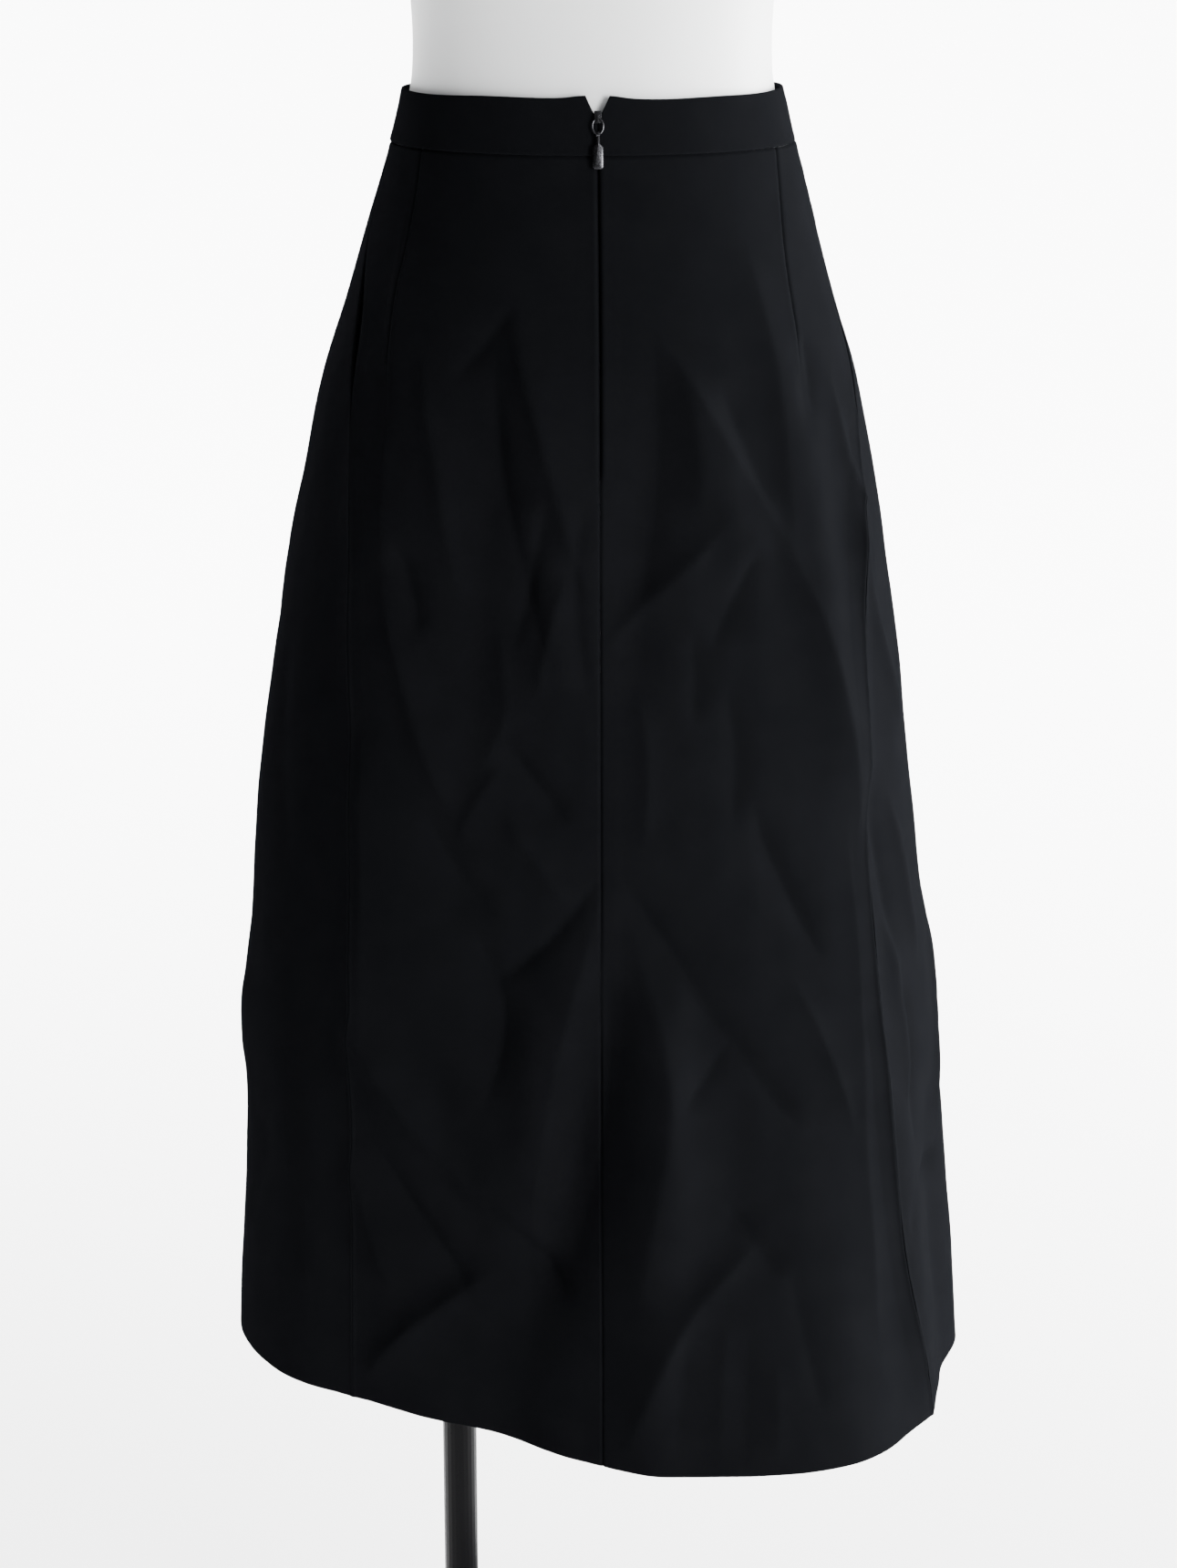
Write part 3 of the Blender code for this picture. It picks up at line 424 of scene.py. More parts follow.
def crease_height(crease, angle, drop, radius):
    """How far one crease moves the cloth out."""
    line = np.array(crease.line, dtype=float)
    middle = line[:, 0].mean()
    reach = plain_radius(line[:, 0], line[:, 1])
    line = smooth_line(np.stack((np.radians(line[:, 0] - middle) * reach, line[:, 1]), axis=1))
    across = np.radians(wrap(angle - middle)) * radius
    margin = CREASE_REACH * max(crease.left, crease.right)
    near = ((across > line[:, 0].min() - margin) & (across < line[:, 0].max() + margin)
            & (drop > line[0, 1] - margin) & (drop < line[-1, 1] + margin))
    height = np.zeros(np.shape(radius))
    if not near.any():
        return height
    here = np.stack((across[near], drop[near]), axis=1)
    steps = np.diff(line, axis=0)
    lengths = np.linalg.norm(steps, axis=1)
    gone = run_lengths(line)
    best = np.full(len(here), np.inf)
    share = np.zeros(len(here))
    side = np.zeros(len(here))
    for start, step, length, before in zip(line, steps, lengths, gone):
        offset = here - start
        t = np.clip((offset @ step) / length**2, 0.0, 1.0)
        away = np.linalg.norm(offset - t[:, None] * step, axis=1)
        closer = away < best
        best = np.where(closer, away, best)
        share = np.where(closer, (before + t * length) / gone[-1], share)
        turn = step[0] * offset[:, 1] - step[1] * offset[:, 0]
        side = np.where(closer, turn, side)
    grown = smooth(share / CREASE_FADE) * smooth((1.0 - share) / CREASE_FADE)
    share_wide = CREASE_END_WIDTH + (1.0 - CREASE_END_WIDTH) * grown
    width = np.where(side < 0, crease.left, crease.right) * share_wide
    fall = np.exp(-(rounded(best, CREASE_CREST) / width) ** CREASE_FALL)
    height[near] = CREASE_STRENGTH * crease.rise * grown * fall
    return height


def side_seam(side, drop):
    sign = 1.0 if side == "left" else -1.0
    return sign * read_curve(SIDE_SEAMS, "drop", side, drop)


def broad_radius(angle, drop):
    """The cloth's face as the solids have it."""
    radius = plain_radius(angle, drop)
    swing = read_curve(HEM_SWING, "angle", "out", wrap(angle))
    # the first half of the ease, so that the swing still grows at the hem
    moved = swing * smooth((drop - SWING_START) / (SKIRT_LENGTH - SWING_START) * 0.5) * 2.0
    for fold in FOLDS:
        moved = moved + fold_height(fold, angle, drop, radius)
    return radius + moved


def drawn_out(line):
    """A line with both its ends moved on along it."""
    line = np.array(line, dtype=float)
    extra = CREASE_RUN_OUT * run_lengths(line)[-1]
    for end, before in ((0, 1), (-1, -2)):
        lean = line[end] - line[before]
        line[end] += lean * extra / np.linalg.norm(lean)
    return line


def seen_places(spots):
    """The (angle, drop) places of the cloth that the camera sees at points of its picture."""
    focal = CAMERA_LENS / CAMERA_SENSOR * max(PICTURE_SIZE)
    right = (spots[:, 0] - PICTURE_SIZE[0] / 2.0) / focal
    up = (PICTURE_SIZE[1] / 2.0 - spots[:, 1]) / focal
    level, down = cos(radians(CAMERA_DOWN)), sin(radians(CAMERA_DOWN))
    ray = np.stack((-right, -level - up * down, up * level - down), axis=-1)
    eye = np.array((CAMERA_X, CAMERA_REACH, WAIST_Z + CAMERA_ABOVE_WAIST))

    def look(reach):
        point = eye + reach[..., None] * ray
        angle = np.degrees(np.arctan2(point[..., 0], point[..., 1]))
        drop = np.clip(WAIST_Z - point[..., 2], 0.0, SKIRT_LENGTH)
        return angle, drop, np.hypot(point[..., 0], point[..., 1]) - broad_radius(angle, drop)

    reach = CAMERA_REACH * np.linspace(*SEARCH_SHARES, SEARCH_STEPS)[:, None] * np.ones(len(spots))
    gap = look(reach)[2]
    # where a ray goes in, or comes nearest if it passes beside the cloth
    inside = gap < 0.0
    step = np.where(inside.any(axis=0), inside.argmax(axis=0), gap.argmin(axis=0))
    one = np.arange(len(spots))
    before, after = gap[step - 1, one], gap[step, one]
    back = np.where(after < 0.0, after / (after - before), 0.0)
    angle, drop, _ = look(reach[step, one] - back * (reach[1, 0] - reach[0, 0]))
    return np.stack((angle, drop), axis=-1)


def placed_creases():
    """Every crease with its line as places on the cloth."""
    seen = [crease._replace(line=seen_places(drawn_out(crease.line))) for crease in SEEN_CREASES]
    return [*seen, *HIDDEN_CREASES]


CREASES = placed_creases()


def slow_wave(angle, drop, seed):
    """A soft uneven ripple without a clear repeat, from -1 to 1."""
    a, d = np.radians(angle), drop
    return (np.sin(3.0 * a + 17.0 * d + seed) * np.sin(9.0 * d - 5.0 * a + 2.1 * seed)
            + 0.5 * np.sin(11.0 * a - 31.0 * d + 0.7 * seed) * np.sin(23.0 * d + 7.0 * a))


def cloth_radius(angle, drop):
    """The cloth's outer face with its creases."""
    radius = broad_radius(angle, drop)
    moved = 0.0
    for crease in CREASES:
        moved = moved + crease_height(crease, angle, drop, radius)
    for ridge in SIDE_RIDGES:
        away = np.abs(np.radians(wrap(angle - side_seam(ridge.side, drop))) * radius)
        uneven = 0.75 + 0.35 * np.sin(21.0 * drop + 1.3)
        at_hem = 1.0 - RIDGE_HEM_LOSS * smooth((drop - RIDGE_HEM_START) / RIDGE_HEM_EASE)
        grown = smooth((drop - ridge.start) / RIDGE_GROWTH) * uneven * at_hem
        moved = moved + ridge.rise * grown * np.exp(-rounded(away, RIDGE_CREST) / RIDGE_WIDTH)
    ripple = (RIPPLE_LONG * slow_wave(angle, drop, 1.0)
              + RIPPLE_SHORT * slow_wave(2.6 * angle, 2.2 * drop, 4.0))
    return radius + moved + smooth((drop - RIPPLE_START) / RIPPLE_GROWTH) * ripple


def place(radius, angle, drop):
    turn = np.radians(angle)
    return np.stack((radius * np.sin(turn), radius * np.cos(turn), WAIST_Z - drop), axis=-1)


def broad_normal(angle, drop):
    """The direction out of the cloth's broad form."""
    d_angle, d_drop = 0.2, 0.001

    def point(a, d):
        return place(broad_radius(a, d), a, d)
    across = point(angle + d_angle, drop) - point(angle - d_angle, drop)
    down = point(angle, drop + d_drop) - point(angle, drop - d_drop)
    normal = np.cross(across, down)
    normal /= np.linalg.norm(normal, axis=-1, keepdims=True)
    outward = place(1.0, angle, 0.0 * drop + WAIST_Z)
    return normal * np.sign(np.sum(normal * outward, axis=-1, keepdims=True))


def broad_face(angle, drop):
    """Points of the cloth's broad form, and the directions out of it."""
    return place(broad_radius(angle, drop), angle, drop), broad_normal(angle, drop)


def grid_normal(points, outward):
    """Normals of a grid of points, turned to the given side."""
    across = np.gradient(points, axis=1)
    down = np.gradient(points, axis=0)
    normal = np.cross(across, down)
    normal /= np.maximum(np.linalg.norm(normal, axis=-1, keepdims=True), 1e-12)
    return normal * np.sign(np.sum(normal * outward, axis=-1, keepdims=True))


def arc_degrees(length, angle, drop):
    return np.degrees(length / broad_radius(angle, drop))


def round_edge(away, radius):
    """How far a rounded edge falls back, by the distance from its end."""
    inside = np.clip(radius - away, 0.0, radius)
    return radius - np.sqrt(radius**2 - inside**2)


# ------------------------------------------------------------------- mesh helpers
def add_object(name, data):
    thing = bpy.data.objects.new(name, data)
    bpy.context.scene.collection.objects.link(thing)
    return thing


def mesh_object(name, points, faces, uv=None, sharp=None):
    mesh = bpy.data.meshes.new(name)
    mesh.from_pydata([tuple(p) for p in points], [], [tuple(f) for f in faces])
    mesh.update()
    if uv is not None:
        layer = mesh.uv_layers.new(name="UVMap")
        index = np.empty(len(mesh.loops), dtype=np.int32)
        mesh.loops.foreach_get("vertex_index", index)
        layer.data.foreach_set("uv", np.asarray(uv, dtype=np.float32)[index].ravel())
    mesh.shade_smooth()
    if sharp:
        mesh.set_sharp_from_angle(angle=radians(sharp))
    return add_object(name, mesh)


def grid_faces(index, flip=False):
    """Quads between the points whose numbers stand in a grid."""
    corners = (index[:-1, :-1], index[:-1, 1:], index[1:, 1:], index[1:, :-1])
    quads = np.stack(corners, axis=-1).reshape(-1, 4)
    return quads[:, ::-1] if flip else quads


def shell(name, outer, inner, uv, sharp=55.0):
    """A thin closed shell of cloth between two grids of points."""
    rows, columns = outer.shape[:2]
    count = rows * columns
    index = np.arange(count).reshape(rows, columns)
    middle = (rows // 2, columns // 2)
    across = outer[middle[0], middle[1] + 1] - outer[middle]
    down = outer[middle[0] + 1, middle[1]] - outer[middle]
    flip = np.dot(np.cross(across, down), outer[middle] - inner[middle]) < 0
    faces = [grid_faces(index, flip), grid_faces(index + count, not flip)]
    ring = np.concatenate((index[0], index[1:, -1], index[-1, -2::-1], index[-2:0:-1, 0]))
    after = np.roll(ring, -1)
    border = np.stack((ring, ring + count, after + count, after), axis=-1)
    faces.append(border[:, ::-1] if flip else border)
    points = np.concatenate((outer.reshape(-1, 3), inner.reshape(-1, 3)))
    both = np.concatenate((uv.reshape(-1, 2), uv.reshape(-1, 2)))
    return mesh_object(name, points, np.concatenate(faces), both, sharp)


def loft(name, rings, sharp):
    """A closed body through rings of points, with a cap at each end."""
    index = np.arange(rings.shape[0] * rings.shape[1]).reshape(rings.shape[:2])
    around = np.concatenate((index, index[:, :1]), axis=1)
    faces = [index[0, ::-1], index[-1], *grid_faces(around)]
    piece = mesh_object(name, rings.reshape(-1, 3), faces)
    bm = bmesh.new()
    bm.from_mesh(piece.data)
    bmesh.ops.recalc_face_normals(bm, faces=bm.faces)
    bm.to_mesh(piece.data)
    bm.free()
    piece.data.set_sharp_from_angle(angle=radians(sharp))
    return piece


# --------------------------------------------------------------------- materials
def new_material(name, **values):
    """A material with its shader's plain values: an underscore stands for a space."""
    material = bpy.data.materials.new(name)
    material.use_nodes = True
    tree = material.node_tree
    shader = tree.nodes["Principled BSDF"]
    for key, value in values.items():
        shader.inputs[key.replace("_", " ")].default_value = value
    return material, tree, shader


def add_node(tree, kind, values=(), **settings):
    node = tree.nodes.new(kind)
    for key, value in settings.items():
        setattr(node, key, value)
    for key, value in values:
        node.inputs[key].default_value = value
    return node


def noise(tree, where, scale, detail, roughness=0.5):
    values = (("Scale", scale), ("Detail", detail), ("Roughness", roughness))
    node = add_node(tree, "ShaderNodeTexNoise", values)
    tree.links.new(where, node.inputs["Vector"])
    return node.outputs["Fac"]


def wave(tree, where, scale, distortion, detail, direction):
    values = (("Scale", scale), ("Distortion", distortion), ("Detail", detail))
    node = add_node(tree, "ShaderNodeTexWave", values, bands_direction=direction)
    tree.links.new(where, node.inputs["Vector"])
    return node.outputs["Fac"]


def combine(tree, operation, *parts):
    """A sum or a product of values and of other nodes' results."""
    node = add_node(tree, "ShaderNodeMath", operation=operation)
    for part, entry in zip(parts, node.inputs):
        if isinstance(part, float):
            entry.default_value = part
        else:
            tree.links.new(part, entry)
    return node.outputs["Value"]


def color_between(tree, shader, factor, dark, light):
    node = add_node(tree, "ShaderNodeMix", data_type="RGBA")
    tree.links.new(factor, node.inputs["Factor"])
    node.inputs["A"].default_value = (*dark, 1.0)
    node.inputs["B"].default_value = (*light, 1.0)
    tree.links.new(node.outputs["Result"], shader.inputs["Base Color"])


def roughness_between(tree, shader, value, low, high):
    node = add_node(tree, "ShaderNodeMapRange", (("From Min", 0.3), ("From Max", 0.7),
                                                 ("To Min", low), ("To Max", high)))
    tree.links.new(value, node.inputs["Value"])
    tree.links.new(node.outputs["Result"], shader.inputs["Roughness"])


def raise_surface(tree, shader, height, strength, distance):
    node = add_node(tree, "ShaderNodeBump", (("Strength", strength), ("Distance", distance)))
    tree.links.new(height, node.inputs["Height"])
    tree.links.new(node.outputs["Normal"], shader.inputs["Normal"])


def coordinates(tree, kind):
    return add_node(tree, "ShaderNodeTexCoord").outputs[kind]


def crepe_material(name, dark, light, weave=1.0, roughness=0.62):
    """Matt woven crepe: a pebbled plain weave of hard-twisted yarn."""
    material, tree, shader = new_material(
        name, IOR=1.46, Specular_IOR_Level=0.0, Sheen_Weight=0.002, Sheen_Roughness=0.45,
        Sheen_Tint=(0.80, 0.86, 1.0, 1.0))
    uv = coordinates(tree, "UV")
    pebble = noise(tree, uv, 1900.0, 2.0, 0.6)
    cloud = noise(tree, uv, 34.0, 4.0)
    along_yarn = add_node(tree, "ShaderNodeMapping", (("Scale", (260.0, 2600.0, 1.0)),))
    tree.links.new(uv, along_yarn.inputs["Vector"])
    slub = noise(tree, along_yarn.outputs["Vector"], 1.0, 1.0)
    warp, weft = [wave(tree, uv, 640.0, 1.2, 1.0, direction) for direction in "XY"]
    crossing = combine(tree, "MULTIPLY", warp, weft)
    height = combine(tree, "ADD", combine(tree, "ADD", crossing, pebble), slub)
    raise_surface(tree, shader, height, 0.35 * weave, 0.00012)
    tone = combine(tree, "MULTIPLY_ADD", pebble, 0.45, combine(tree, "MULTIPLY", cloud, 0.55))
    color_between(tree, shader, tone, dark, light)
    roughness_between(tree, shader, cloud, roughness - 0.05, roughness + 0.05)
    return material


def tape_material():
    """Woven zip tape: a fine herringbone across its width."""
    material, tree, shader = new_material("zip_tape_weave", Roughness=0.7)
    rib = wave(tree, coordinates(tree, "UV"), 320.0, 0.6, 2.0, "DIAGONAL")
    raise_surface(tree, shader, rib, 0.5, 0.0002)
    color_between(tree, shader, rib, (0.005, 0.005, 0.006), (0.012, 0.012, 0.014))
    return material


def metal_material(name, dark, light, roughness):
    """Plated metal with faint polishing marks and rubbed tone."""
    material, tree, shader = new_material(name, Metallic=1.0)
    where = coordinates(tree, "Object")
    marks = noise(tree, where, 900.0, 5.0)
    color_between(tree, shader, noise(tree, where, 108.0, 3.0), dark, light)
    roughness_between(tree, shader, marks, roughness - 0.08, roughness + 0.10)
    raise_surface(tree, shader, marks, 0.12, 0.0001)
    return material


def form_material():
    """Smooth white shell, faintly orange-peeled, its white shifting a little at random between cooler and
    warmer.
    """
    material, tree, shader = new_material("form_white_shell", Specular_IOR_Level=0.4)
    where = coordinates(tree, "Object")
    cloud = noise(tree, where, 9.0, 4.0)
    color_between(tree, shader, cloud, (0.76, 0.78, 0.79), (0.86, 0.86, 0.85))
    roughness_between(tree, shader, cloud, 0.42, 0.55)
    raise_surface(tree, shader, noise(tree, where, 420.0, 3.0), 0.10, 0.0003)
    return material


def coat_material(name, dark, light, roughness):
    """Powder coat: a fine even orange peel."""
    material, tree, shader = new_material(name, Specular_IOR_Level=0.06)
    where = coordinates(tree, "Object")
    peel = noise(tree, where, 700.0, 3.0)
    color_between(tree, shader, noise(tree, where, 14.0, 4.0), dark, light)
    roughness_between(tree, shader, peel, roughness - 0.05, roughness + 0.07)
    raise_surface(tree, shader, peel, 0.25, 0.0002)
    return material


def floor_material():
    material, tree, shader = new_material("floor_pale", Roughness=0.9, Specular_IOR_Level=0.1)
    tone = noise(tree, coordinates(tree, "Object"), 1.5, 2.0)
    color_between(tree, shader, tone, (0.90, 0.90, 0.90), (0.92, 0.92, 0.92))
    return material


CREPE_BLACK = crepe_material("black_crepe", (0.0025, 0.0027, 0.0032), (0.0050, 0.0052, 0.0060))
CREPE_INSIDE = crepe_material("black_crepe_inside", (0.0024, 0.0026, 0.0031), (0.0047, 0.0049, 0.0056), 1.2)
TAPE = tape_material()
GUNMETAL = metal_material("gunmetal_plate", (0.028, 0.028, 0.031), (0.060, 0.060, 0.064), 0.24)
FORM_WHITE = form_material()
POLE_BLACK = coat_material("pole_black_coat", (0.0018, 0.0018, 0.0021), (0.0036, 0.0036, 0.0041), 0.32)
BASE_BLACK = coat_material("base_black_coat", (0.012, 0.012, 0.013), (0.022, 0.022, 0.024), 0.40)


def finish_piece(piece, material, replaced, body="skirt_on_form"):
    piece.data.materials.clear()
    piece.data.materials.append(material)
    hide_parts(*replaced)
    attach(piece, body)


# ------------------------------------------------------------------ cloth pieces
EDGE_STEPS = np.array((0.0, 0.0003, 0.0007, 0.0012, 0.0019, 0.0029, 0.0044, 0.0068))
DART_STEPS = np.array((0.0004, 0.0009, 0.0016, 0.0026, 0.0042))
HEM_STEPS = np.array((0.0, 0.0003, 0.0008, 0.0016, 0.0028))
SIDE_ALLOWANCE = 0.0130    # the turned-in edge shows faintly this far from a seam
ALLOWANCE_EASE = 0.0030

# Relief of the sewing: how high it is, how far from its line, and how wide.
Relief = namedtuple("Relief", "rise at width")
BACK_GROOVE = Relief(-0.0011, 0.0, 0.0009)
ZIP_LIP = Relief(0.00055, 0.0030, 0.0022)
ZIP_SLIT = Relief(-0.0010, 0.0, 0.0011)
ZIP_WAVE = Relief(0.00020, 0.0040, 0.0060)
ZIP_PINCH = Relief(-0.0009, 0.0, 0.0060)
SIDE_LIP = Relief(0.0006, 0.0, 0.0018)
SIDE_GROOVE = Relief(-0.0003, 0.0, 0.0004)
POCKET_LIP = Relief(0.00030, 0.0030, 0.0035)
POCKET_ROUNDING = 0.0008
WAIST_GROOVE = Relief(-0.0008, 0.0, 0.0011)
DART_GROOVE = Relief(-0.00065, 0.0, 0.0012)
DART_FOLD = 0.00028        # the dart's cloth lies under a band beside its line
DART_FOLD_EDGE = 0.0075
DART_DIMPLE = Relief(-0.0014, 0.0, 0.0075)
DART_FADE = 0.0450         # its groove dies out over this length
HEM_STEP = 0.00015
HEM_STITCHES = Relief(-0.00016, HEM_DEPTH, 0.0016)
# Stitches gather the cloth a little beside their line.
BACK_PUCKER = Relief(-0.00020, 0.0, 0.0045)
SIDE_PUCKER = Relief(-0.00022, 0.0, 0.0045)
WAIST_PUCKER = Relief(-0.0001, 0.0, 0.0040)
DART_PUCKER = Relief(-0.00012, 0.0, 0.0012)
# Their spacing along the line, and how unevenly that runs.
Spacing = namedtuple("Spacing", "wave bend bend_wave")
SEAM_SPACING = Spacing(0.0021, 2.2, 0.013)
WAIST_SPACING = Spacing(0.0019, 3.0, 0.017)
DART_SPACING = Spacing(0.0023, 0.0, 1.0)
# How far apart a panel's rows lie, and its columns from its first edge to its last, by dart.
PanelMesh = namedtuple("PanelMesh", "down across")
BACK_MESH = PanelMesh(0.00299, (0.0026, 0.0026)) if FINE else PanelMesh(0.0069, (0.0060, 0.0060))
# The front is much wider, so its mesh is coarser, most of all between its darts.
FRONT_MESH = PanelMesh(0.0054, (0.0035, 0.0062, 0.0035)) if FINE else PanelMesh(0.0069, (0.0060,) * 3)
SWEEP_COUNT = 60           # places along a row at which its length is measured


def span_columns(width, darts, steps):
    """Distances across a panel, row by row: fine at its edges and at its darts.

    width has a value for each row, and each dart has its distance for each row.
    steps has the columns' spacing for each stretch from edge to dart to edge.
    """
    around = np.concatenate((-DART_STEPS[::-1], (0.0,), DART_STEPS))
    parts = [np.repeat(EDGE_STEPS[None, :], len(width), axis=0)]
    parts += [dart[:, None] + around[None, :] for dart in darts]
    parts.append(width[:, None] - EDGE_STEPS[None, ::-1])
    filled = [parts[0]]
    for left, right, step in zip(parts, parts[1:], steps):
        start, end = left[:, -1], right[:, 0]
        count = max(2, int(round(np.max(end - start) / step)))
        shares = np.linspace(0.0, 1.0, count + 1)[1:-1]
        filled.append(start[:, None] + (end - start)[:, None] * shares[None, :])
        filled.append(right)
    return np.concatenate(filled, axis=1)


def row_drops(step):
    """Drops of a panel's rows: fine under the band and at the hem."""
    top = BAND_HEIGHT + 0.0001
    inner = np.linspace(top + EDGE_STEPS[-1], SKIRT_LENGTH - HEM_STEPS[-1],
                        int(round((SKIRT_LENGTH - top) / step)))
    return np.concatenate((top + EDGE_STEPS[:-1], inner, (SKIRT_LENGTH - HEM_STEPS[:-1])[::-1]))


def pocket_gape(drop):
    """Half the width that a side seam stands open, pocket and all."""
    share = (drop - POCKET_TOP) / (POCKET_END - POCKET_TOP)
    open_part = np.where((share > 0) & (share < 1), np.sin(pi * np.clip(share, 0, 1)) ** 2, 0.0)
    return 0.5 * (SEAM_SLIT + POCKET_GAPE * open_part)


def in_pocket(drop):
    return smooth((drop - POCKET_TOP) / 0.008) * smooth((POCKET_END - drop) / 0.008)


def relief(shape, away):
    return shape.rise * bell(away - shape.at, shape.width)


def gathered(run, spacing):
    """How much the stitches gather the cloth along their line, from 0 to 1."""
    uneven = spacing.bend * np.sin(run / spacing.bend_wave)
    return 0.5 + 0.5 * np.sin(run / spacing.wave + uneven)


def seam_shape(away, drop, kind):
    """How far a sewn edge lies below (-) or above (+) the cloth round it."""
    pucker = gathered(drop, SEAM_SPACING)
    turned_in = smooth((SIDE_ALLOWANCE - away) / ALLOWANCE_EASE)
    if kind == "zip":
        zipped = smooth((TAPE_END + 0.003 - drop) / 0.010)
        lips = zipped * (relief(ZIP_LIP, away) + relief(ZIP_SLIT, away))
        end_pinch = bell(drop - TAPE_END - 0.004, 0.007) * relief(ZIP_PINCH, away)
        wavy = zipped * (pucker - 0.5) * relief(ZIP_WAVE, away)
        plain = relief(BACK_GROOVE, away) + 0.00022 * turned_in
        return lips + wavy + end_pinch + plain + pucker * relief(BACK_PUCKER, away)
    if kind == "side":
        open_here = in_pocket(drop)
        sewn = relief(SIDE_LIP, away) + relief(SIDE_GROOVE, away) + 0.00020 * turned_in
        sewn = sewn + pucker * relief(SIDE_PUCKER, away)
        lip = relief(POCKET_LIP, away) - round_edge(away, POCKET_ROUNDING)
        return sewn * (1.0 - open_here) + lip * open_here
    return relief(WAIST_GROOVE, away) + gathered(drop, WAIST_SPACING) * relief(WAIST_PUCKER, away)


def dart_shape(away, drop, tip):
    """A stitched dart: a narrow groove, a raised fold beside it and a dimple at its tip."""
    stitched = smooth((tip - drop) / DART_FADE)
    groove = relief(DART_GROOVE, away) + gathered(drop, DART_SPACING) * relief(DART_PUCKER, away)
    fold = DART_FOLD * smooth((DART_FOLD_EDGE - away) / 0.004) * smooth(away / 0.0008)
    dimple = bell(drop - tip - 0.002, 0.016) * relief(DART_DIMPLE, away)
    return stitched * (groove + fold) + dimple


def panel_grid(drops, first, last, darts, steps):
    """A panel's rows: the distance from its first edge, the angle and the darts' distances."""
    fine = np.linspace(0.0, 1.0, SWEEP_COUNT)[None, :]
    sweep = first[:, None] + (last - first)[:, None] * fine
    reach = broad_radius(sweep, np.repeat(drops[:, None], SWEEP_COUNT, axis=1))
    ring = place(reach, sweep, drops[:, None] + 0.0 * sweep)
    lengths = run_lengths(ring, axis=1)
    width = lengths[:, -1]
    dart_lines = []
    for dart in darts:
        line = read_curve(DARTS, "drop", dart, drops)
        share = (line - first) / (last - first)
        dart_lines.append(np.array([np.interp(s, fine[0], row) for s, row in zip(share, lengths)]))
    away = span_columns(width, dart_lines, steps)
    angles = np.array([np.interp(a, row, turn) for a, row, turn in zip(away, lengths, sweep)])
    return away, angles, width[:, None], dart_lines


def cloth_layers(away, width, hem_away):
    """The cloth's thickness: more at the turned hem and where the seams are pressed open."""
    at_hem = (HEM_WALL - CREPE) * smooth((HEM_DEPTH - hem_away) / 0.002)
    at_seam = smooth((PRESSED_EDGE - away) / 0.003) + smooth((PRESSED_EDGE - width + away) / 0.003)
    return CREPE + at_hem + (PRESSED_WALL - CREPE) * at_seam


def panel_piece(name, node, first_edge, last_edge, kinds, darts, mesh):
    """One panel, from its first edge's angles to its last edge's."""
    drops = row_drops(mesh.down)
    first, last = first_edge(drops), last_edge(drops)
    away, angles, width, dart_lines = panel_grid(drops, first, last, darts, mesh.across)
    levels = np.repeat(drops[:, None], away.shape[1], axis=1)
    radius = cloth_radius(angles, levels)
    lifted = seam_shape(away, levels, kinds[0]) + seam_shape(width - away, levels, kinds[1])
    lifted = lifted + seam_shape(levels - drops[0], away, "waist")
    for dart, line in zip(darts, dart_lines):
        lifted = lifted + dart_shape(np.abs(away - line[:, None]), levels, DART_TIPS[dart])
    hem_away = SKIRT_LENGTH - levels
    hem_line = HEM_STEP * smooth((HEM_DEPTH - hem_away) / 0.004) + relief(HEM_STITCHES, hem_away)
    hem_fall = round_edge(hem_away, HEM_ROUNDING)
    lifted = lifted + hem_line - hem_fall
    points = place(radius, angles, levels)
    normals = grid_normal(points, place(1.0, angles, WAIST_Z + 0.0 * levels))
    outer = points + normals * lifted[..., None]
    layer = np.maximum(cloth_layers(away, width, hem_away) + lifted, THINNEST) - 0.9 * hem_fall
    inner = outer - normals * layer[..., None]
    middle = 0.5 * width
    along = run_lengths(outer[:, 0])[:, None] + 0.0 * away
    uv = np.stack((away - middle, along), axis=-1)
    piece = shell(name, outer, inner, uv)
    finish_piece(piece, CREPE_BLACK, (node,))


def panels():
    def center_back(sign):
        return lambda drop: CENTER_BACK + sign * arc_degrees(0.5 * SEAM_SLIT, 0.0 * drop, drop)

    def side(name, towards_front):
        sign = 1.0 if name == "left" else -1.0
        step = sign * (1.0 if towards_front else -1.0)

        def edge(drop):
            seam = side_seam(name, drop)
            return seam + step * arc_degrees(pocket_gape(drop), seam, drop)
        return edge

    def right_front(drop):
        return side("right", True)(drop) + 360.0

    panel_piece("panel_back_left", "back_left", center_back(1.0), side("left", False),
                ("zip", "side"), ("left",), BACK_MESH)
    panel_piece("panel_back_right", "back_right", center_back(-1.0), side("right", False),
                ("zip", "side"), ("right",), BACK_MESH)
    panel_piece("panel_front", "front", side("left", True), right_front,
                ("side", "side"), ("front_left", "front_right"), FRONT_MESH)


# Each piece's cut: (width, length, flat area).
CUT_SIZES = {
    "back_left": (0.245, 0.905, 0.158),
    "back_right": (0.300, 0.915, 0.196),
    "front": (0.900, 0.900, 0.690),
    "waistband": (0.780, 0.038, 0.0270),
    "pocket": (0.130, 0.200, 0.0230),
    "tape": (0.022, 0.226, 0.0049),
}


def notch_half_width(drop):
    share = np.clip(1.0 - drop / NOTCH_DEPTH, 0.0, 1.0)
    return 0.5 * SEAM_SLIT + 0.5 * NOTCH_WIDTH * share ** NOTCH_CURVE


BAND_STEPS = np.array((0.0, 0.0002, 0.0005, 0.0009, 0.0014, 0.0022, 0.0034))
BAND_END_STEPS = np.array((*BAND_STEPS, 0.0050, 0.0070, 0.0095))
BAND_ROWS = 18
BAND_COLUMNS = 330 if FINE else 150
BAND_EDGE_ROUNDING = 0.0009
BAND_LINING_ROUNDING = 0.0007
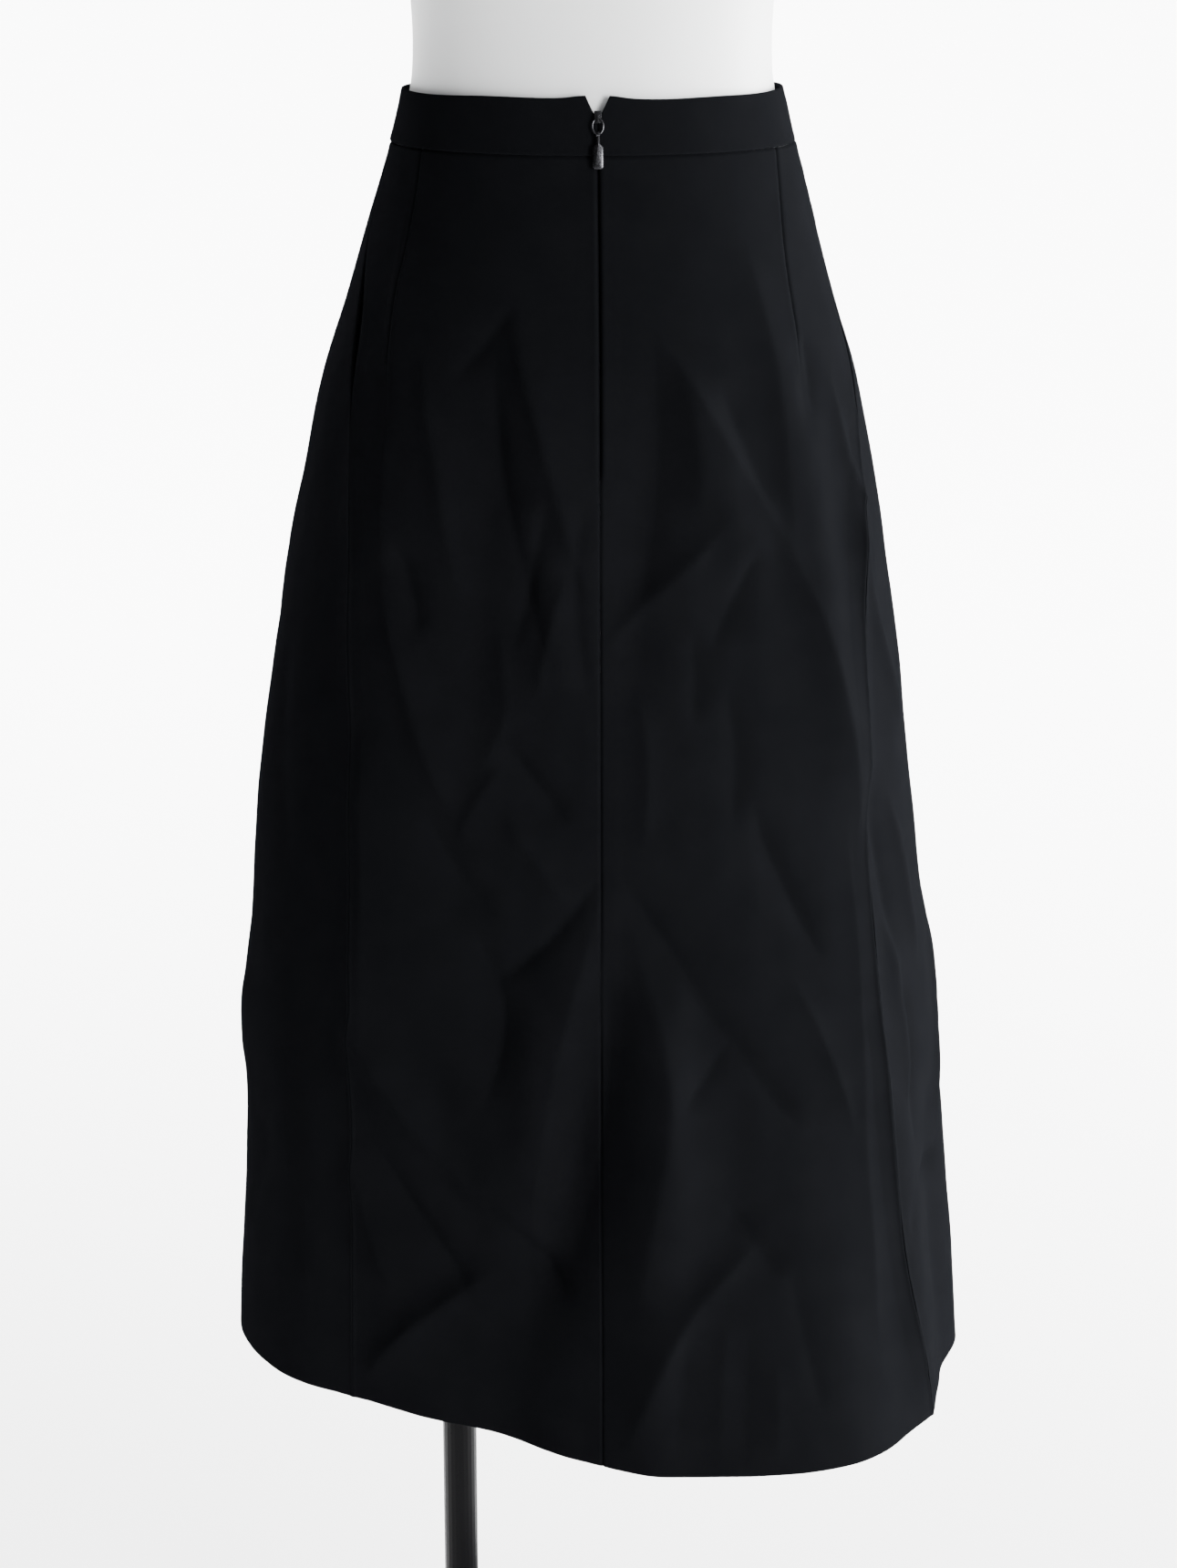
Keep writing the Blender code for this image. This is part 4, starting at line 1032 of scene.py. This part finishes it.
# Unevenness round the band: how high, how many waves and where they start, in radians.
Wave = namedtuple("Wave", "rise count start")
BAND_SAGS = (Wave(0.0006, 3.0, 0.6), Wave(0.0003, 8.0, 2.0))
BAND_SWELL = Wave(0.00035, 11.0, 0.0)
SWELL_LEAN = 90.0          # radians that the swell turns per metre of drop
BAND_PUCKER = Relief(0.00014, 0.0030, 0.0030)


def band_unevenness(angle, drop, low_edge):
    """How far hanging and stitching move the band's face out."""
    turn = np.radians(angle)
    swell = BAND_SWELL.rise * np.sin(BAND_SWELL.count * turn + SWELL_LEAN * drop)
    pucker = np.sin(130.0 * turn + 2.0 * np.sin(17.0 * turn))
    return swell * smooth((drop - 0.004) / 0.01) + pucker * relief(BAND_PUCKER, low_edge)


def waistband():
    """A folded band: rounded top, a V at the centre back, its lower edge sewn to the panels."""
    middle = np.linspace(BAND_STEPS[-1], BAND_HEIGHT - BAND_STEPS[-1], BAND_ROWS)
    drops = np.concatenate((BAND_STEPS[:-1], middle, (BAND_HEIGHT - BAND_STEPS[:-1])[::-1]))
    margin = arc_degrees(notch_half_width(drops), 0.0 * drops, drops)[:, None]
    around = CUT_SIZES["waistband"][0]
    ends = BAND_END_STEPS / around
    across = np.concatenate((ends, np.linspace(ends[-1], 1.0 - ends[-1], BAND_COLUMNS)[1:-1],
                             1.0 - ends[::-1]))
    from_back = margin + (360.0 - 2.0 * margin) * across[None, :]
    angles = CENTER_BACK + from_back
    levels = np.repeat(drops[:, None], len(across), axis=1)
    radius = broad_radius(angles, levels)
    away = np.radians(np.minimum(from_back, 360.0 - from_back)) * radius
    from_end = np.minimum(across, 1.0 - across)[None, :] * around + 0.0 * levels
    beside = bell(away - 0.5 * NOTCH_WIDTH, NOTCH_FLICK_REACH)
    lift = NOTCH_FLICK * beside * np.clip(1.0 - levels / NOTCH_DEPTH, 0.0, 1.0)
    sag = sum(one.rise * np.sin(np.radians(one.count * angles) + one.start) for one in BAND_SAGS)
    low_edge = BAND_HEIGHT - levels
    swell = band_unevenness(angles, levels, low_edge)
    half = 0.5 * BAND_WALL
    fall = sum(round_edge(edge, rounding) for edge, rounding in (
        (levels, half), (low_edge, BAND_EDGE_ROUNDING), (from_end, BAND_EDGE_ROUNDING)))
    fall = np.minimum(fall, half)
    points = place(radius, angles, levels)
    points[..., 2] += lift + sag * np.clip(1.0 - levels / BAND_HEIGHT, 0.0, 1.0)
    normals = broad_normal(angles, levels)
    outer = points + normals * (BAND_PROUD + swell - fall)[..., None]
    inner_fall = round_edge(levels, half) + round_edge(from_end, BAND_LINING_ROUNDING)
    inner_fall = np.minimum(inner_fall, half - 0.0001)
    inner = points + normals * (BAND_PROUD - BAND_WALL + inner_fall)[..., None]
    uv = np.stack((across[None, :] * around + 0.0 * levels, levels), axis=-1)
    piece = shell("waistband_band", outer, inner, uv, sharp=70.0)
    finish_piece(piece, CREPE_BLACK, ("waistband",))


POCKET_COLUMNS = 60 if FINE else 24
POCKET_ROWS = 80 if FINE else 30
POCKET_RIPPLE = 0.0004
POCKET_MEAN_RADIUS = 0.16  # turns its angles into lengths for the weave


def pockets():
    """Pocket pieces behind the open side seams."""
    for side in ("left", "right"):
        sign = 1.0 if side == "left" else -1.0
        across = np.linspace(-POCKET_LAP, POCKET_REACH, POCKET_COLUMNS)
        down = np.linspace(0.0, 1.0, POCKET_ROWS)
        share = np.clip((across + POCKET_LAP) / (POCKET_LAP + POCKET_REACH), 0.0, 1.0)
        rounding = np.sqrt(np.clip(1.0 - (2.0 * share - 1.0) ** 4, 0.0, 1.0))
        lowest = POCKET_END + (POCKET_FLOOR - POCKET_END) * rounding
        top = POCKET_TOP - POCKET_RISE
        drops = top + (lowest - top)[None, :] * down[:, None]
        angles = side_seam(side, drops) + sign * across[None, :]
        points, normals = broad_face(angles, drops)
        ripple = np.abs(np.sin(drops * 90.0 + angles * 0.12)) * smooth((across[None, :] - 3.0) / 10.0)
        outer = points - normals * (POCKET_DEPTH + POCKET_RIPPLE * ripple)[..., None]
        inner = outer - normals * CREPE
        uv = np.stack((np.radians(angles) * POCKET_MEAN_RADIUS, drops), axis=-1)
        piece = shell("pocket_bag_" + side, outer, inner, uv)
        finish_piece(piece, CREPE_INSIDE, ("pocket_" + side,))


def zip_tape():
    """The zip's tape, behind the slit of the centre back."""
    drops = np.linspace(TAPE_TOP, TAPE_END, TAPE_ROWS)
    inner_depth = np.where(drops < BAND_HEIGHT, BAND_WALL - BAND_PROUD, HEM_WALL) + TAPE_SET_BACK
    half = arc_degrees(0.5 * TAPE_WIDTH, 0.0 * drops, drops)[:, None]
    across = np.linspace(-1.0, 1.0, TAPE_COLUMNS)
    angles = CENTER_BACK + half * across[None, :]
    levels = np.repeat(drops[:, None], TAPE_COLUMNS, axis=1)
    points, normals = broad_face(angles, levels)
    outer = points - normals * inner_depth[:, None, None]
    inner = outer - normals * TAPE_WALL
    uv = np.stack((0.5 * TAPE_WIDTH * across[None, :] + 0.0 * levels, levels), axis=-1)
    piece = shell("zip_tape_woven", outer, inner, uv)
    finish_piece(piece, TAPE, ("zip_tape",))


# ------------------------------------------------------------------ dress form
FORM_COLUMNS = 120 if FINE else 60
FORM_ROWS = 230 if FINE else 110


def form_body():
    """The limbless form's smooth shell, through its stations."""
    lowest, highest = FORM_STATIONS[0].height, FORM_STATIONS[-1].height
    heights = np.concatenate(((lowest,), np.linspace(lowest + 0.0005, highest, FORM_ROWS)))
    turns, levels = np.meshgrid(np.linspace(0.0, 360.0, FORM_COLUMNS, endpoint=False), -heights)
    reach = [read_curve(FORM_STATIONS, "height", field, -levels)
             for field in ("half_width", "half_width", "back", "front")]
    radius = rounded_outline(turns, *reach, FORM_SQUARENESS)
    piece = loft("form_body", place(radius, turns, levels), sharp=50.0)
    finish_piece(piece, FORM_WHITE, ("form_torso",))


PullPiece = namedtuple("PullPiece", "node body edge")
PULL_PIECES = table(PullPiece, (
    ("zip_slider", "skirt_on_form", 0.00022),
    ("zip_ring", "pull_ring", 0.00010),
    ("zip_tab", "pull_tab", 0.00025),
))
TAB_RIM = 0.0013           # flat border round the tab's raised middle
TAB_SWELL = 0.0005
WELD = 0.000002            # points closer than this are one


def zip_pull():
    """The slider, ring and tab with the rounded edges that catch the light."""
    for node, body, edge in PULL_PIECES:
        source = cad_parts[node]
        mesh = source.data.copy()
        bm = bmesh.new()
        bm.from_mesh(mesh)
        bmesh.ops.remove_doubles(bm, verts=bm.verts[:], dist=WELD)
        if node == "zip_tab":
            bmesh.ops.dissolve_limit(bm, angle_limit=radians(2.0), verts=bm.verts[:], edges=bm.edges[:])
            turn = source.matrix_world.to_3x3()
            front = max(bm.faces, key=lambda face: face.calc_area() * max((turn @ face.normal).y, 0.0))
            bmesh.ops.inset_region(bm, faces=[front], thickness=TAB_RIM, depth=TAB_SWELL)
        sharp = [e for e in bm.edges if e.is_manifold and e.calc_face_angle(0.0) > radians(40.0)]
        bmesh.ops.bevel(bm, geom=sharp, offset=edge, segments=3, profile=0.5, affect="EDGES",
                        clamp_overlap=True)
        bm.to_mesh(mesh)
        bm.free()
        mesh.shade_smooth()
        mesh.set_sharp_from_angle(angle=radians(48.0))
        piece = add_object(node + "_plated", mesh)
        piece.matrix_world = source.matrix_world.copy()
        finish_piece(piece, GUNMETAL, (node,), body)


def dress_cad_nodes():
    """CAD nodes whose shape stays get their finish."""
    finishes = {
        "form_neck_cap": FORM_WHITE,
        "form_socket": POLE_BLACK,
        "pole": POLE_BLACK,
        "pole_collar": POLE_BLACK,
        "base": BASE_BLACK,
    }
    for node, material in finishes.items():
        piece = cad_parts[node]
        piece.data.materials.clear()
        piece.data.materials.append(material)


# ------------------------------------------------------------------ studio
FLOOR_HALF = 40.0
FLOOR_DROP = 0.0005        # the floor lies this far under the base


def look_at(thing, target):
    direction = Vector(target) - thing.location
    thing.rotation_euler = direction.to_track_quat("-Z", "Y").to_euler()


def area_light(name, location, target, size, power):
    data = bpy.data.lights.new(name, "AREA")
    data.shape = "RECTANGLE"
    data.size, data.size_y = size
    data.energy = power
    light = add_object(name, data)
    light.location = location
    look_at(light, target)
    return light


def add_camera():
    camera_data = bpy.data.cameras.new("camera")
    camera_data.lens = CAMERA_LENS
    camera_data.sensor_width = CAMERA_SENSOR
    camera_data.sensor_fit = "AUTO"
    camera_data.clip_end = 200.0
    camera = add_object("camera", camera_data)
    camera.location = (CAMERA_X, CAMERA_REACH, WAIST_Z + CAMERA_ABOVE_WAIST)
    camera.rotation_euler = (radians(90.0 - CAMERA_DOWN), 0.0, radians(180.0))
    bpy.context.scene.camera = camera


def add_floor():
    corners = [(x * FLOOR_HALF, y * FLOOR_HALF, -FLOOR_DROP) for x, y in ((-1, -1), (1, -1), (1, 1), (-1, 1))]
    floor = mesh_object("floor", corners, [(0, 1, 2, 3)])
    floor.data.materials.append(floor_material())


def add_world():
    """The picture's right is -X: a bright wall there, a dim room on the other side."""
    world = bpy.data.worlds.new("studio")
    bpy.context.scene.world = world
    world.use_nodes = True
    tree = world.node_tree
    parts = add_node(tree, "ShaderNodeSeparateXYZ")
    tree.links.new(coordinates(tree, "Generated"), parts.inputs["Vector"])
    side = add_node(tree, "ShaderNodeMapRange", (("From Min", 0.5), ("From Max", -0.9),
                                                 ("To Min", 0.08), ("To Max", 1.35)),
                    interpolation_type="SMOOTHSTEP")
    tree.links.new(parts.outputs["X"], side.inputs["Value"])
    background = tree.nodes["Background"]
    background.inputs["Color"].default_value = (0.97, 0.98, 1.0, 1.0)
    tree.links.new(side.outputs["Result"], background.inputs["Strength"])


def add_lights():
    area_light("key", (-2.9, -0.70, 1.0), (0.0, 0.0, 0.85), (1.2, 1.9), 380.0)
    area_light("fill", (-2.3, 2.45, 1.35), (0.0, 0.0, 0.90), (0.9, 2.0), 215.0)
    # A pale ceiling panel well behind the skirt keeps the far floor white.
    ceiling = area_light("back_ceiling", (0.0, -12.8, 5.0), (0.0, -12.8, 0.0), (26.0, 24.0), 22000.0)
    ceiling.data.spread = radians(80.0)


form_body()
waistband()
panels()
pockets()
zip_tape()
zip_pull()
dress_cad_nodes()
add_camera()
add_floor()
add_world()
add_lights()
